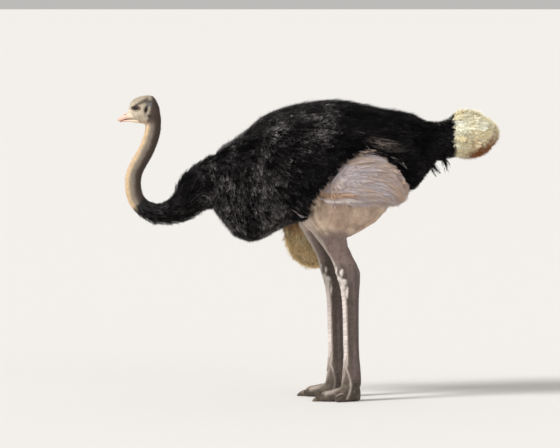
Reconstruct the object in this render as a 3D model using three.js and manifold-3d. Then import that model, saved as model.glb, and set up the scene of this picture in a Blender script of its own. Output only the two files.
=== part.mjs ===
// A male ostrich at life size, standing with its neck held low in an S, its left wing folded
// and its right wing drooping.
// Millimetres, +Z up. The bird faces -X, its left side is -Y, and the floor is z = 0.
// The origin is on the floor, below the middle of the whole bird's length and breadth.
import * as THREE from "three";
import { mergeVertices } from "three/addons/utils/BufferGeometryUtils.js";
import Module from "manifold-3d";

const wasm = await Module();
wasm.setup();

// Driving dimensions.
const GAP = 0.3; // clearance between neighbouring pieces
const STANCE = 100; // each foot's distance from the middle plane
const STRIDE = 64; // how far the right foot stands in front of the left one
const HIP_HEIGHT = 960;
const HOCK_HEIGHT = 540;
const SHANK_FOOT = 62; // height at which the shank ends on the foot
const FOOT_CENTRE = 188; // x of the joint where the left foot's toes meet
const TOE_MAIN_YAW = 9; // degrees outwards of straight ahead
const TOE_OUTER_YAW = 44;
const NECK_CUTS = { lower: 0.445, middle: 0.675, upper: 0.892 }; // shares of its length
const NECK_GAP = 0.0004; // the gap between its lengths, as such a share
const EYE = { x: -741, y: 27.5, z: 1252, radius: 19 };
const LIDS = { outward: 17.5, radii: [17, 5, 12] }; // the opening between them, from the eye's centre
const EYE_FACETS = [12, 8]; // around and from pole to pole, for the eye and its socket alike
const EAR = { x: -695, y: 43, z: 1245, radii: [6, 9, 17] };
const NOSTRIL = { x: -784, y: 21, z: 1223, radii: [10, 5, 2.6] };

const LEFT = -1;
const RIGHT = 1;
const ACROSS = new THREE.Vector3(0, 1, 0);
const UPRIGHT = [new THREE.Vector3(0, 0, 1), ACROSS]; // sections standing across the bird
const LEVEL = [new THREE.Vector3(-1, 0, 0), ACROSS]; // sections lying level
const WORLD = 4000; // the side of a block that holds the whole bird

const finish = (color, roughness, metalness = 0) =>
  new THREE.MeshStandardMaterial({ color, roughness, metalness });
const BLACK_PLUMAGE = finish("#17161a", 0.8);
const WHITE_PLUMAGE = finish("#e6dcc8", 0.85);
const NECK_DOWN = finish("#8b7a69", 0.8);
const FACE = finish("#b9aa97", 0.75);
const BARE_SKIN = finish("#b29a8a", 0.65);
const LEG_SCALES = finish("#8d837c", 0.6);
const HORN = finish("#d9a293", 0.45);
const CLAW = finish("#6b6152", 0.5);
const EYEBALL = finish("#1d1410", 0.15);

// ---- Making solids -------------------------------------------------------------------------

// A closed geometry as a manifold solid, whichever way its faces were wound.
function solidOf(geometry) {
  const bare = geometry.clone();
  bare.deleteAttribute("normal");
  bare.deleteAttribute("uv");
  const merged = mergeVertices(bare, 1e-4);
  const corners = Array.from(merged.index.array);
  const triVerts = [];
  for (let i = 0; i < corners.length; i += 3) {
    const [a, b, c] = corners.slice(i, i + 3);
    if (a !== b && b !== c && c !== a) triVerts.push(a, b, c);
  }
  const vertProperties = merged.attributes.position.array;
  if (signedVolume(vertProperties, triVerts) < 0) triVerts.reverse();
  return new wasm.Manifold(
    new wasm.Mesh({ numProp: 3, vertProperties, triVerts: new Uint32Array(triVerts) }),
  );
}

function signedVolume(places, corners) {
  const [a, b, c] = [new THREE.Vector3(), new THREE.Vector3(), new THREE.Vector3()];
  let sum = 0;
  for (let i = 0; i < corners.length; i += 3) {
    a.fromArray(places, corners[i] * 3);
    b.fromArray(places, corners[i + 1] * 3);
    c.fromArray(places, corners[i + 2] * 3);
    sum += a.dot(b.cross(c));
  }
  return sum;
}

// A tube skinned over oval sections, closed at both ends. A station is [x, y, z, up, down, side]:
// the section's centre and its reach above, below and to each side of it. Sections lie in the
// plane of the two directions `axes`, or square to the path if there are none. `power` squares
// the oval off above 2, and `grow` thickens the whole by that much.
function loft(stations, { rings, sides, axes = null, power = 2, grow = 0, from = 0, to = 1 }) {
  const centres = stations.map(([x, y, z]) => new THREE.Vector3(x, y, z));
  const along = [0];
  for (let i = 1; i < centres.length; i++)
    along.push(along[i - 1] + centres[i].distanceTo(centres[i - 1]));
  const whole = along.at(-1);
  const spline = new THREE.CubicInterpolant(along, stations.flat(), 6);
  const read = (t) => Array.from(spline.evaluate(THREE.MathUtils.clamp(t, 0, 1) * whole));
  const centre = (t) => new THREE.Vector3(...read(t));
  const oval = (v) => Math.sign(v) * Math.abs(v) ** (2 / power);
  const step = 1e-3;

  const shape = new THREE.CylinderGeometry(1, 1, 1, sides, rings);
  const place = shape.attributes.position;
  for (let i = 0; i < place.count; i++) {
    const share = place.getY(i);
    const t = THREE.MathUtils.lerp(from, to, share + 0.5);
    const [, , , above, below, beside] = read(t);
    const heading = centre(t + step).sub(centre(t - step)).normalize();
    const [rise, aside] = axes ?? [new THREE.Vector3().crossVectors(ACROSS, heading), ACROSS];
    const angle = Math.atan2(place.getX(i), place.getZ(i));
    const radius = Math.hypot(place.getX(i), place.getZ(i));
    const height = (Math.cos(angle) > 0 ? above : below) + grow;
    const spot = centre(t)
      .addScaledVector(heading, 2 * share * grow)
      .addScaledVector(rise, oval(Math.cos(angle)) * height * radius)
      .addScaledVector(aside, oval(Math.sin(angle)) * (beside + grow) * radius);
    place.setXYZ(i, spot.x, spot.y, spot.z);
  }
  return solidOf(shape);
}

function ball({ x, y, z }, radii, [around, rows]) {
  const sphere = new THREE.SphereGeometry(1, around, rows);
  sphere.rotateX(Math.PI / 2).scale(...radii).translate(x, y, z);
  return solidOf(sphere);
}

// What lies above the level z = 0, so that soles are flat.
function aboveFloor(solid) {
  const room = new THREE.BoxGeometry(WORLD, WORLD, WORLD).translate(0, 0, WORLD / 2);
  return solid.intersect(solidOf(room));
}

// The same stations with the first one lowered, or set back, by the gap to the piece before it.
const lowered = ([[z, ...rest], ...others]) => [[z - GAP, ...rest], ...others];
const setBack = ([[x, ...rest], ...others]) => [[x + GAP, ...rest], ...others];

// Stations written by their top and bottom edges, for upright sections on the middle plane.
const upright = ([x, top, bottom, side]) => {
  const middle = (top + bottom) / 2;
  return [x, 0, middle, top - middle, middle - bottom, side];
};

// The same for pieces that lie along one flank: [x, top, bottom, y, half thickness].
function alongside(side) {
  return ([x, top, bottom, y, half]) => {
    const middle = (top + bottom) / 2;
    return [x, side * y, middle, top - middle, middle - bottom, half];
  };
}

const ostrich = new THREE.Group();
function group() {
  const part = new THREE.Group();
  ostrich.add(part);
  return part;
}

// Names a solid and hangs it in its group, with its own origin at the middle of its box.
function add(part, name, solid, material) {
  const { vertProperties, triVerts } = solid.getMesh();
  const geometry = new THREE.BufferGeometry();
  geometry.setAttribute("position", new THREE.BufferAttribute(vertProperties, 3));
  geometry.setIndex(new THREE.BufferAttribute(triVerts, 1));
  geometry.computeBoundingBox();
  const middle = geometry.boundingBox.getCenter(new THREE.Vector3()).round();
  geometry.translate(-middle.x, -middle.y, -middle.z);
  geometry.computeVertexNormals();
  const mesh = new THREE.Mesh(geometry, material.clone());
  mesh.name = name;
  mesh.position.copy(middle);
  part.add(mesh);
}

// ---- Trunk and tail ------------------------------------------------------------------------

// [x, top, bottom, half breadth], from the root of the neck to the root of the tail.
const TRUNK = [
  [-424, 1024, 858, 62],
  [-404, 1055, 820, 98],
  [-360, 1090, 766, 134],
  [-310, 1120, 707, 158],
  [-262, 1153, 689, 176],
  [-205, 1205, 699, 190],
  [-150, 1233, 731, 202],
  [-85, 1256, 761, 214],
  [17, 1275, 786, 222],
  [138, 1284, 813, 218],
  [249, 1262, 842, 200],
  [353, 1240, 878, 168],
  [434, 1230, 902, 136],
  [478, 1203, 932, 112],
  [510, 1190, 1000, 92],
  [545, 1188, 1034, 78],
].map(upright);

// The black coverts that sleeve the tail, and the white plumes that burst from them.
const TAIL = [
  [545, 1188, 1034, 78],
  [590, 1198, 1043, 74],
  [622, 1217, 1046, 80],
].map(upright);
const TAIL_PLUMES = [
  [622, 1218, 1046, 84],
  [650, 1238, 1039, 96],
  [697, 1250, 1033, 104],
  [742, 1233, 1047, 98],
  [778, 1209, 1073, 80],
  [804, 1184, 1102, 50],
  [817, 1158, 1130, 16],
].map(upright);

// ---- Wings ---------------------------------------------------------------------------------

// [x, top, bottom, distance from the middle plane, half thickness] of the wings' black coverts. The
// left wing is folded and its white plumes fan out behind; the right one droops.
const WING_LEFT = [
  [-225, 1090, 930, 158, 14],
  [-190, 1140, 860, 174, 38],
  [-120, 1190, 800, 190, 52],
  [-55, 1212, 782, 198, 57],
  [5, 1220, 800, 202, 58],
  [60, 1220, 900, 204, 56],
  [115, 1216, 978, 203, 53],
  [180, 1208, 1040, 199, 49],
  [260, 1196, 1052, 188, 44],
  [350, 1180, 1024, 166, 38],
  [420, 1160, 1010, 140, 30],
  [465, 1130, 1050, 118, 14],
].map(alongside(LEFT));
const WING_RIGHT = [
  [-230, 1080, 940, 158, 14],
  [-195, 1125, 870, 174, 38],
  [-125, 1180, 800, 190, 54],
  [-40, 1208, 772, 201, 60],
  [60, 1212, 790, 205, 60],
  [150, 1200, 850, 203, 54],
  [240, 1184, 930, 190, 46],
  [320, 1160, 990, 172, 36],
  [375, 1130, 1040, 152, 14],
].map(alongside(RIGHT));
const PLUMES_LEFT = [
  [48, 935, 884, 206, 8],
  [72, 968, 862, 212, 20],
  [130, 1020, 853, 218, 27],
  [200, 1062, 848, 218, 29],
  [280, 1064, 846, 208, 29],
  [350, 1034, 849, 194, 26],
  [410, 994, 870, 176, 20],
  [448, 950, 908, 162, 8],
].map(alongside(LEFT));
// [z, front, rear, y, half thickness] of the plumes hanging from the drooping right wing.
const PLUMES_RIGHT = [
  [900, -150, 300, 212, 20],
  [840, -140, 286, 222, 28],
  [790, -124, 236, 228, 28],
  [750, -114, 172, 230, 28],
  [700, -104, 132, 231, 26],
  [640, -84, 112, 229, 23],
  [596, -52, 86, 225, 17],
  [572, -8, 50, 221, 7],
].map(([z, front, rear, y, half]) => {
  const depth = (rear - front) / 2;
  return [(front + rear) / 2, y, z, depth, depth, half];
});

const trunkLoft = (grow = 0) =>
  loft(TRUNK, { rings: 18, sides: 24, axes: UPRIGHT, power: 2.15, grow });

// The black coverts lie on the trunk and thigh, and the plumes on all three.
function addWing(side, name, room) {
  const wing = group();
  const covert = (grow = 0) =>
    loft(side === LEFT ? WING_LEFT : WING_RIGHT, { rings: 11, sides: 13, axes: UPRIGHT, grow });
  const plumes =
    side === LEFT
      ? loft(PLUMES_LEFT, { rings: 9, sides: 12, axes: UPRIGHT })
      : loft(PLUMES_RIGHT, { rings: 9, sides: 12, axes: LEVEL });
  add(wing, `wing_${name}`, covert().subtract(room), BLACK_PLUMAGE);
  add(wing, `plumes_${name}`, plumes.subtract(room).subtract(covert(GAP)), WHITE_PLUMAGE);
}

// ---- Neck and head -------------------------------------------------------------------------

// [x, z, half depth, half breadth] down the middle plane, from inside the trunk up into the skull.
const NECK = [
  [-370, 972, 90, 100],
  [-410, 947, 91, 92],
  [-472, 905, 89, 78],
  [-539, 830, 65, 58],
  [-600, 802, 50, 46],
  [-642, 796, 46, 41],
  [-688, 811, 38.5, 37],
  [-721, 836, 34.5, 33.5],
  [-742, 868, 33.5, 32],
  [-752, 918, 33, 31],
  [-748, 966, 32.5, 30.5],
  [-733, 1003, 32, 30],
  [-703, 1055, 31.5, 30],
  [-682, 1100, 31.5, 30],
  [-668, 1147, 32, 30.5],
  [-664, 1184, 33, 31.5],
  [-667, 1226, 33, 32],
  [-677, 1262, 29, 30],
].map(([x, z, depth, breadth]) => [x, 0, z, depth, depth, breadth]);

const neckPiece = (from, to, rings, sides, grow = 0) =>
  loft(NECK, { rings, sides, from, to, grow });

// [x, top, bottom, half breadth] of the skull, from the forehead to the nape.
const SKULL = [
  [-770, 1252, 1216, 14],
  [-765, 1268, 1206, 26],
  [-755, 1283, 1199, 35],
  [-743, 1291, 1194, 41],
  [-726, 1299, 1189, 44],
  [-704, 1304, 1185, 43],
  [-680, 1305, 1183, 40.5],
  [-664, 1298, 1186, 37],
  [-650, 1276, 1193, 31],
  [-639, 1254, 1205, 20],
].map(upright);

// [x, top, bottom, half breadth] of each half of the bill, from inside the face to the tip.
const BILL_UPPER = [
  [-738, 1226, 1206.4, 33],
  [-758, 1237, 1206, 33],
  [-778, 1233, 1204.4, 27.5],
  [-791, 1225, 1201.5, 23],
  [-802, 1217.5, 1197.5, 18.5],
  [-811, 1210, 1194.5, 12.5],
  [-817, 1203, 1196.5, 5],
].map(upright);
const BILL_LOWER = [
  [-733, 1205.9, 1187, 31],
  [-752, 1205.5, 1191, 30],
  [-772, 1204.6, 1194, 25.5],
  [-788, 1201.8, 1193.5, 20],
  [-800, 1197.4, 1191.5, 14.5],
  [-808, 1193.6, 1190.2, 8],
].map(upright);

const billHalf = (stations, grow = 0) =>
  loft(stations, { rings: 7, sides: 12, axes: UPRIGHT, power: 2.5, grow });

function upperBill() {
  let bill = billHalf(BILL_UPPER);
  for (const side of [LEFT, RIGHT])
    bill = bill.subtract(ball({ ...NOSTRIL, y: side * NOSTRIL.y }, NOSTRIL.radii, [8, 6]));
  return bill;
}

function headSolid() {
  const neckTop = neckPiece(NECK_CUTS.upper + NECK_GAP, 1, 3, 16);
  const skull = loft(SKULL, { rings: 11, sides: 20, axes: UPRIGHT, power: 2.3 });
  let head = skull.add(neckTop);
  head = head.subtract(billHalf(BILL_UPPER, GAP));
  head = head.subtract(billHalf(BILL_LOWER, GAP));
  for (const side of [LEFT, RIGHT]) {
    const socket = { ...EYE, y: side * EYE.y };
    const reach = EYE.radius + GAP;
    head = head.subtract(ball(socket, [reach, reach, reach], EYE_FACETS));
    const lidOpening = { ...EYE, y: side * (EYE.y + LIDS.outward) };
    head = head.subtract(ball(lidOpening, LIDS.radii, [10, 6]));
    const earOpening = { ...EAR, y: side * EAR.y };
    head = head.subtract(ball(earOpening, EAR.radii, [10, 6]));
  }
  return head;
}

// ---- Legs ----------------------------------------------------------------------------------

// [z, front x, rear x, y, half breadth] of the left leg, from the bare drumstick to the shank.
const DRUMSTICK = [
  [1040, 70, 330, 100, 40],
  [1000, 5, 385, 112, 66],
  [930, -45, 400, 122, 84],
  [860, -62, 352, 126, 88],
  [805, -46, 316, 124, 84],
  [760, -14, 268, 120, 74],
  [727, 13, 206, 115, 60],
  [700, 37, 158, 111, 48],
  [668, 62, 164, 107, 42],
];
const SHIN = [
  [668, 62, 164, 107, 42],
  [626, 90, 186, 104, 38],
  [590, 106, 207, 102, 37.5],
];
const HOCK_AND_SHANK = [
  [590, 106, 207, 102, 37.5],
  [565, 116, 219, 101, 40],
  [HOCK_HEIGHT, 122, 224, STANCE, 42],
  [508, 132, 222, STANCE, 38],
  [470, 143, 219, STANCE, 31],
  [400, 150, 217, STANCE, 27.5],
  [300, 153, 217, STANCE, 26.5],
  [200, 156, 219, STANCE, 28],
  [130, 154, 225, STANCE, 32],
  [90, 148, 228, STANCE, 36],
  [SHANK_FOOT, 142, 227, STANCE, 38],
];

// The right leg is the left one mirrored and swung forward by the stride.
function legLoft(rows, side, { rings, sides, power = 2.2, grow = 0 }) {
  const stations = rows.map(([z, front, rear, y, breadth]) => {
    const swing = THREE.MathUtils.smoothstep(HIP_HEIGHT - z, 0, HIP_HEIGHT - HOCK_HEIGHT);
    const x = (front + rear) / 2 - (side === RIGHT ? STRIDE * swing : 0);
    const depth = (rear - front) / 2;
    return [x, side * y, z, depth, depth, breadth];
  });
  return loft(stations, { rings, sides, axes: LEVEL, power, grow });
}

// Toes run out from the foot's centre. [reach, height above the floor, half height, half breadth]
const MAIN_TOE = [
  [-34, 30, 27, 20],
  [-26, 32, 34, 31],
  [0, 36, 40, 40],
  [30, 33, 36, 40],
  [60, 24, 27, 34],
  [92, 20, 23, 30],
  [120, 18, 21, 27],
  [136, 15, 16, 20],
  [141, 13, 10, 12],
];
const OUTER_TOE = [
  [-4, 30, 27, 16],
  [20, 27, 28, 24],
  [45, 20, 22, 22],
  [70, 16, 18, 19],
  [88, 13, 14, 14],
  [95, 11, 9, 8],
];
const CLAW_SHAPE = [
  [131, 17, 12, 10],
  [145, 13, 14, 10],
  [158, 9, 10.5, 8],
  [168, 5.5, 6.5, 5],
  [173, 3, 2.5, 2.5],
];

function toe(rows, side, yaw, rings, sides, grow = 0) {
  const turn = THREE.MathUtils.degToRad(yaw);
  const root = new THREE.Vector3(FOOT_CENTRE - (side === RIGHT ? STRIDE : 0), side * STANCE, 0);
  const onward = new THREE.Vector3(-Math.cos(turn), side * Math.sin(turn), 0);
  const axes = [UPRIGHT[0], new THREE.Vector3().crossVectors(onward, UPRIGHT[0])];
  const stations = rows.map(([reach, z, half, breadth]) => {
    const spot = root.clone().addScaledVector(onward, reach);
    return [spot.x, spot.y, z, half, half, breadth];
  });
  return loft(stations, { rings, sides, axes, power: 2.4, grow });
}

const thigh = (side, grow = 0) => legLoft(DRUMSTICK, side, { rings: 10, sides: 14, grow });

function addLeg(side, name, trunkRoom) {
  const leg = group();
  add(leg, `thigh_${name}`, thigh(side).subtract(trunkRoom), BARE_SKIN);
  add(leg, `shin_${name}`, legLoft(lowered(SHIN), side, { rings: 3, sides: 14 }), BARE_SKIN);
  const shank = legLoft(lowered(HOCK_AND_SHANK), side, { rings: 13, sides: 12 });
  add(leg, `shank_${name}`, shank, LEG_SCALES);

  const ankle = legLoft(HOCK_AND_SHANK.slice(-3), side, { rings: 2, sides: 12, grow: GAP });
  const mainToe = aboveFloor(toe(MAIN_TOE, side, TOE_MAIN_YAW, 8, 12));
  const outerToe = aboveFloor(toe(OUTER_TOE, side, TOE_OUTER_YAW, 6, 10));
  const mainRoom = toe(MAIN_TOE, side, TOE_MAIN_YAW, 8, 12, GAP);
  const claw = aboveFloor(toe(CLAW_SHAPE, side, TOE_MAIN_YAW, 4, 8));
  add(leg, `toe_main_${name}`, mainToe.subtract(ankle), LEG_SCALES);
  add(leg, `toe_outer_${name}`, outerToe.subtract(mainRoom).subtract(ankle), LEG_SCALES);
  add(leg, `claw_${name}`, claw.subtract(mainRoom), CLAW);
}

// ---- Assembly ------------------------------------------------------------------------------

const trunkRoom = trunkLoft(GAP);
const body = group();
add(body, "trunk", trunkLoft(), BLACK_PLUMAGE);
const tailLoft = (rows, rings) => loft(rows, { rings, sides: 18, axes: UPRIGHT, power: 2.1 });
add(body, "tail_base", tailLoft(setBack(TAIL), 4), BLACK_PLUMAGE);
add(body, "tail_plumes", tailLoft(setBack(TAIL_PLUMES), 10), WHITE_PLUMAGE);

const neck = group();
const neckRoot = neckPiece(0, NECK_CUTS.lower, 9, 16).subtract(trunkRoom);
add(neck, "neck_lower", neckRoot, BLACK_PLUMAGE);
add(neck, "neck_middle", neckPiece(NECK_CUTS.lower + NECK_GAP, NECK_CUTS.middle, 7, 16), NECK_DOWN);
add(neck, "neck_upper", neckPiece(NECK_CUTS.middle + NECK_GAP, NECK_CUTS.upper, 7, 16), NECK_DOWN);

const face = group();
add(face, "head", headSolid(), FACE);
add(face, "bill_upper", upperBill(), HORN);
add(face, "bill_lower", billHalf(BILL_LOWER), HORN);

for (const [side, name] of [[LEFT, "left"], [RIGHT, "right"]]) {
  const { x, y, z, radius } = EYE;
  const eye = ball({ x, y: side * y, z }, [radius, radius, radius], EYE_FACETS);
  add(face, `eye_${name}`, eye, EYEBALL);
  addLeg(side, name, trunkRoom);
  addWing(side, name, trunkRoom.add(thigh(side, GAP)));
}

export default ostrich;
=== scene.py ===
"""A life-size standing male ostrich: skin, plumage, bill, eyes, claws and leg plates round the CAD frame."""

import math

import bpy
import numpy as np
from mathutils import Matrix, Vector
from mathutils.bvhtree import BVHTree


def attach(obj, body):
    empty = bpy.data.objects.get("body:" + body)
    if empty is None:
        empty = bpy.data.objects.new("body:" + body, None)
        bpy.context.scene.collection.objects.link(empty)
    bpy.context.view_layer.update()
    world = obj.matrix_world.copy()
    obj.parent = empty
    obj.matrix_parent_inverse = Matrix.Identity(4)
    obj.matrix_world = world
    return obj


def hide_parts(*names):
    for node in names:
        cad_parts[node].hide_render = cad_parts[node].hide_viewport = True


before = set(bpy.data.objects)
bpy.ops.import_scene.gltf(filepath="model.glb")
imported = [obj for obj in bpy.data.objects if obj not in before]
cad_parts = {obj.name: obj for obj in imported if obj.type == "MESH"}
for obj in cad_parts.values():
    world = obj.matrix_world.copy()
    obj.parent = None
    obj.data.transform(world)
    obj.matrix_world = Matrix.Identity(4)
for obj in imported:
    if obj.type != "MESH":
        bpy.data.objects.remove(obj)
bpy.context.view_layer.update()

# ---- Sizes in metres, in the row frame: the bird faces -X and its left side is towards -Y ----

EYE_CENTRE = np.array([-0.741, 0.0275, 1.252])
EYE_RADIUS = 0.019
LID_HALF = (0.0132, 0.0074)  # half length and half height of the opening between the lids
LID_TILT = math.radians(-8)
EAR_CENTRE = np.array([-0.695, 0.043, 1.245])
SKIN_VOXEL = 0.0087
CORE_VOXEL = 0.008
COAT_DEPTH = 0.026  # how deep the body's skin lies below the feather tips
NECK_COAT_DEPTH = 0.008
NECK_RADIUS = 0.032
BLACK_UP_TO = 0.438  # how far up the neck's path the black plumage reaches
LEFT_OUTSIDE = -0.26  # y of places just outside the left wing
SIDES = {"left": -1, "right": 1}

# [x, z] down the middle of the neck, from the breast up into the skull.
NECK_PATH = np.array([
    [-0.370, 0.972], [-0.410, 0.947], [-0.472, 0.905], [-0.539, 0.830], [-0.600, 0.802], [-0.642, 0.796],
    [-0.688, 0.811], [-0.721, 0.836], [-0.742, 0.868], [-0.752, 0.918], [-0.748, 0.966], [-0.733, 1.003],
    [-0.703, 1.055], [-0.682, 1.100], [-0.668, 1.147], [-0.664, 1.184], [-0.667, 1.226], [-0.677, 1.262],
])  # fmt: skip

BODY_NODES = ["trunk", "tail_base", "neck_lower", "wing_left", "wing_right"]
SKIN_NODES = BODY_NODES + [
    "neck_middle", "neck_upper", "head", "thigh_left", "thigh_right", "shin_left", "shin_right",
    "shank_left", "shank_right", "toe_main_left", "toe_main_right", "toe_outer_left", "toe_outer_right",
]  # fmt: skip

rng = np.random.default_rng(20)

# ---- Helpers -----------------------------------------------------------------------------------


def to_object_mode():
    if bpy.context.object and bpy.context.object.mode != "OBJECT":
        bpy.ops.object.mode_set(mode="OBJECT")


def nothing_picked():
    to_object_mode()
    bpy.ops.object.select_all(action="DESELECT")


def pick(piece):
    """Makes this piece the only one selected, and active."""
    nothing_picked()
    piece.select_set(True)
    bpy.context.view_layer.objects.active = piece


def all_faces(piece):
    pick(piece)
    bpy.ops.object.mode_set(mode="EDIT")
    bpy.ops.mesh.select_mode(type="FACE")
    bpy.ops.mesh.select_all(action="SELECT")


def face_outward(piece):
    all_faces(piece)
    bpy.ops.mesh.normals_make_consistent(inside=False)
    to_object_mode()


def shown(name, data):
    """A new object of the scene, with this mesh, light or camera."""
    thing = bpy.data.objects.new(name, data)
    bpy.context.scene.collection.objects.link(thing)
    return thing


def declare(piece, slot, *nodes):
    """Says that a piece rides on the root and which CAD nodes it stands for; slot is not used."""
    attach(piece, "root")
    if nodes:
        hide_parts(*nodes)
    return piece


def copy_of(node, name, grow=0.0):
    """A merged copy of a CAD node's mesh, swollen by grow."""
    piece = shown(name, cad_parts[node].data.copy())
    piece.data.materials.clear()
    all_faces(piece)
    bpy.ops.mesh.remove_doubles(threshold=1e-5)
    bpy.ops.mesh.normals_make_consistent(inside=False)
    if grow:
        bpy.ops.transform.shrink_fatten(value=grow)
    to_object_mode()
    return piece


def join(pieces, name):
    pick(pieces[0])
    for piece in pieces[1:]:
        piece.select_set(True)
    bpy.ops.object.join()
    pieces[0].name = pieces[0].data.name = name
    return pieces[0]


def modify(piece, kind, **settings):
    """Adds a modifier with these settings and applies it."""
    pick(piece)
    bpy.ops.object.modifier_add(type=kind)
    modifier = piece.modifiers[-1]
    for key, value in settings.items():
        setattr(modifier, key, value)
    bpy.ops.object.modifier_apply(modifier=modifier.name)


def rows_of(collection, key, width, kind=np.float32):
    """One row of numbers for each item of a mesh's collection."""
    flat = np.empty(len(collection) * width, kind)
    collection.foreach_get(key, flat)
    return flat.reshape(-1, width)


def points_of(mesh):
    return rows_of(mesh.vertices, "co", 3).astype(float)


def normals_of(mesh):
    return rows_of(mesh.vertex_normals, "vector", 3).astype(float)


def edges_of(mesh):
    return rows_of(mesh.edges, "vertices", 2, np.int32)


def set_points(mesh, points):
    mesh.vertices.foreach_set("co", points.astype(np.float32).ravel())
    mesh.update()


def unit(v):
    return v / np.maximum(np.linalg.norm(v, axis=-1, keepdims=True), 1e-9)


def ramp(x, low, high):
    """0 below low, 1 above high, smooth between; works downhill too."""
    t = np.clip((x - low) / (high - low), 0, 1)
    return t * t * (3 - 2 * t)


def bell(x):
    """1 at 0, fading out to both sides."""
    return np.exp(-(x**2))


def spot(x, z, at_x, at_z, reach_x, reach_z, power=1.0):
    """1 at one place seen from the side, fading to 0 round it, more sharply with more power."""
    return np.exp(-((((x - at_x) / reach_x) ** 2 + ((z - at_z) / reach_z) ** 2) ** power))


def line_at(table, places):
    """The second column of a table, at places along its first."""
    return np.interp(places, table[:, 0], table[:, 1])


def swing(*shape):
    """Random numbers from -1 to 1."""
    return 2 * rng.random(shape) - 1


def varied(amount, *shape):
    """Random factors round 1."""
    return 1 + amount * swing(*shape)


def columns(*values):
    """Stacks numbers and arrays side by side into rows."""
    return np.stack(np.broadcast_arrays(*values), 1).astype(float)


def neighbours(edges, count):
    """How many edges meet at each point, and a function that sums values over each point's neighbours."""
    a, b = edges[:, 0], edges[:, 1]
    ties = np.maximum(np.bincount(a, minlength=count) + np.bincount(b, minlength=count), 1)
    return ties, lambda values: np.bincount(a, values[b], count) + np.bincount(b, values[a], count)


def relaxed(points, edges, weight, rounds):
    """Evens out bumps while keeping the volume. weight is how far each point joins in."""
    ties, summed = neighbours(edges, len(points))
    weight = np.broadcast_to(weight, len(points))[:, None]
    for _ in range(rounds):
        for step in (0.5, -0.53):
            near = np.stack([summed(points[:, k]) for k in range(3)], 1)
            points = points + step * weight * (near / ties[:, None] - points)
    return points


def spread(values, edges, rounds):
    """Blurs one number per point over the surface."""
    ties, summed = neighbours(edges, len(values))
    for _ in range(rounds):
        values = 0.4 * values + 0.6 * (summed(values) / ties)
    return values


def relax_piece(piece, rounds):
    points = relaxed(points_of(piece.data), edges_of(piece.data), 1.0, rounds)
    set_points(piece.data, points)
    return points


def remesh(piece, voxel):
    """Turns a piece into one even, softened surface, and returns its points."""
    piece.data.remesh_voxel_size = voxel
    piece.data.use_remesh_fix_poles = False
    pick(piece)
    bpy.ops.object.voxel_remesh()
    return relax_piece(piece, 6)


def subdivide_where(piece, test):
    """Cuts every face whose centre passes the test in four."""
    mesh = piece.data
    chosen = test(rows_of(mesh.polygons, "center", 3).astype(float))
    pick(piece)
    mesh.vertices.foreach_set("select", np.zeros(len(mesh.vertices), bool))
    mesh.edges.foreach_set("select", np.zeros(len(mesh.edges), bool))
    bpy.context.tool_settings.mesh_select_mode = (False, False, True)
    mesh.polygons.foreach_set("select", chosen)
    bpy.ops.object.mode_set(mode="EDIT")
    bpy.ops.mesh.subdivide(number_cuts=1, smoothness=0)
    to_object_mode()


def put_attribute(mesh, name, values):
    attribute = mesh.attributes.new(name, "FLOAT", "POINT")
    attribute.data.foreach_set("value", np.asarray(values, np.float32))


def put_paint(mesh, colours, name="paint"):
    attribute = mesh.attributes.new(name, "FLOAT_COLOR", "POINT")
    opaque = np.hstack([colours, np.ones((len(colours), 1))])
    attribute.data.foreach_set("color", opaque.astype(np.float32).ravel())


def paint_of(red, green, blue):
    """A paint's linear colour from its 0-255 swatch."""
    c = np.array([red, green, blue]) / 255
    return np.where(c <= 0.04045, c / 12.92, ((c + 0.055) / 1.055) ** 2.4)


def tree_of(meshes):
    """One search tree over several meshes, and the mesh number of each of its faces."""
    verts, faces, owner = [], [], []
    for i, mesh in enumerate(meshes):
        start = len(verts)
        verts += [v.co.copy() for v in mesh.vertices]
        faces += [[start + k for k in p.vertices] for p in mesh.polygons]
        owner += [i] * len(mesh.polygons)
    return BVHTree.FromPolygons(verts, faces), np.array(owner)


def noise(points, size, seed=0, octaves=2):
    """Smooth value noise in -1..1 on a lattice of that size."""
    total, amount, norm = np.zeros(len(points)), 1.0, 0.0
    for octave in range(octaves):
        p = points / size * 2**octave + 17.3 * (seed + octave)
        cell = np.floor(p).astype(np.int64)
        f = p - cell
        f = f * f * (3 - 2 * f)
        value = np.zeros(len(points))
        for corner in range(8):
            step = np.array([corner & 1, corner >> 1 & 1, corner >> 2 & 1])
            c = cell + step
            h = c[:, 0] * 374761393 + c[:, 1] * 668265263 + c[:, 2] * 2147483647 + seed * 974711
            h = h & 0xFFFFFFFF
            h = ((h ^ (h >> 13)) * 1274126177) & 0xFFFFFFFF
            h = ((h ^ (h >> 16)) & 0xFFFF) / 32767.5 - 1
            value += h * np.prod(np.where(step, f, 1 - f), axis=1)
        total += amount * value
        norm += amount
        amount *= 0.5
    return total / norm


def nearest_step(flat, line):
    """Each point's share of each step of a line, and how far from that step it is."""
    starts, steps = line[:-1], np.diff(line, axis=0)
    share = np.clip(np.einsum("psk,sk->ps", flat[:, None] - starts, steps) / np.sum(steps**2, axis=1), 0, 1)
    return share, np.linalg.norm(flat[:, None] - (starts + share[..., None] * steps), axis=2)


def along_neck(points):
    """Each point's place along the neck's path, the path's direction there, and how far in front it lies."""
    flat = points[:, [0, 2]]
    starts, steps = NECK_PATH[:-1], np.diff(NECK_PATH, axis=0)
    lengths = np.linalg.norm(steps, axis=1)
    before = np.concatenate([[0], np.cumsum(lengths)[:-1]])
    share, gap = nearest_step(flat, NECK_PATH)
    best = gap.argmin(1)
    share = share[np.arange(len(points)), best]
    heading = steps[best] / lengths[best, None]
    off = flat - (starts[best] + share[:, None] * steps[best])
    forward = off[:, 0] * -heading[:, 1] + off[:, 1] * heading[:, 0]
    return before[best] + share * lengths[best], heading, forward


# ---- Skin --------------------------------------------------------------------------------------


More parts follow.
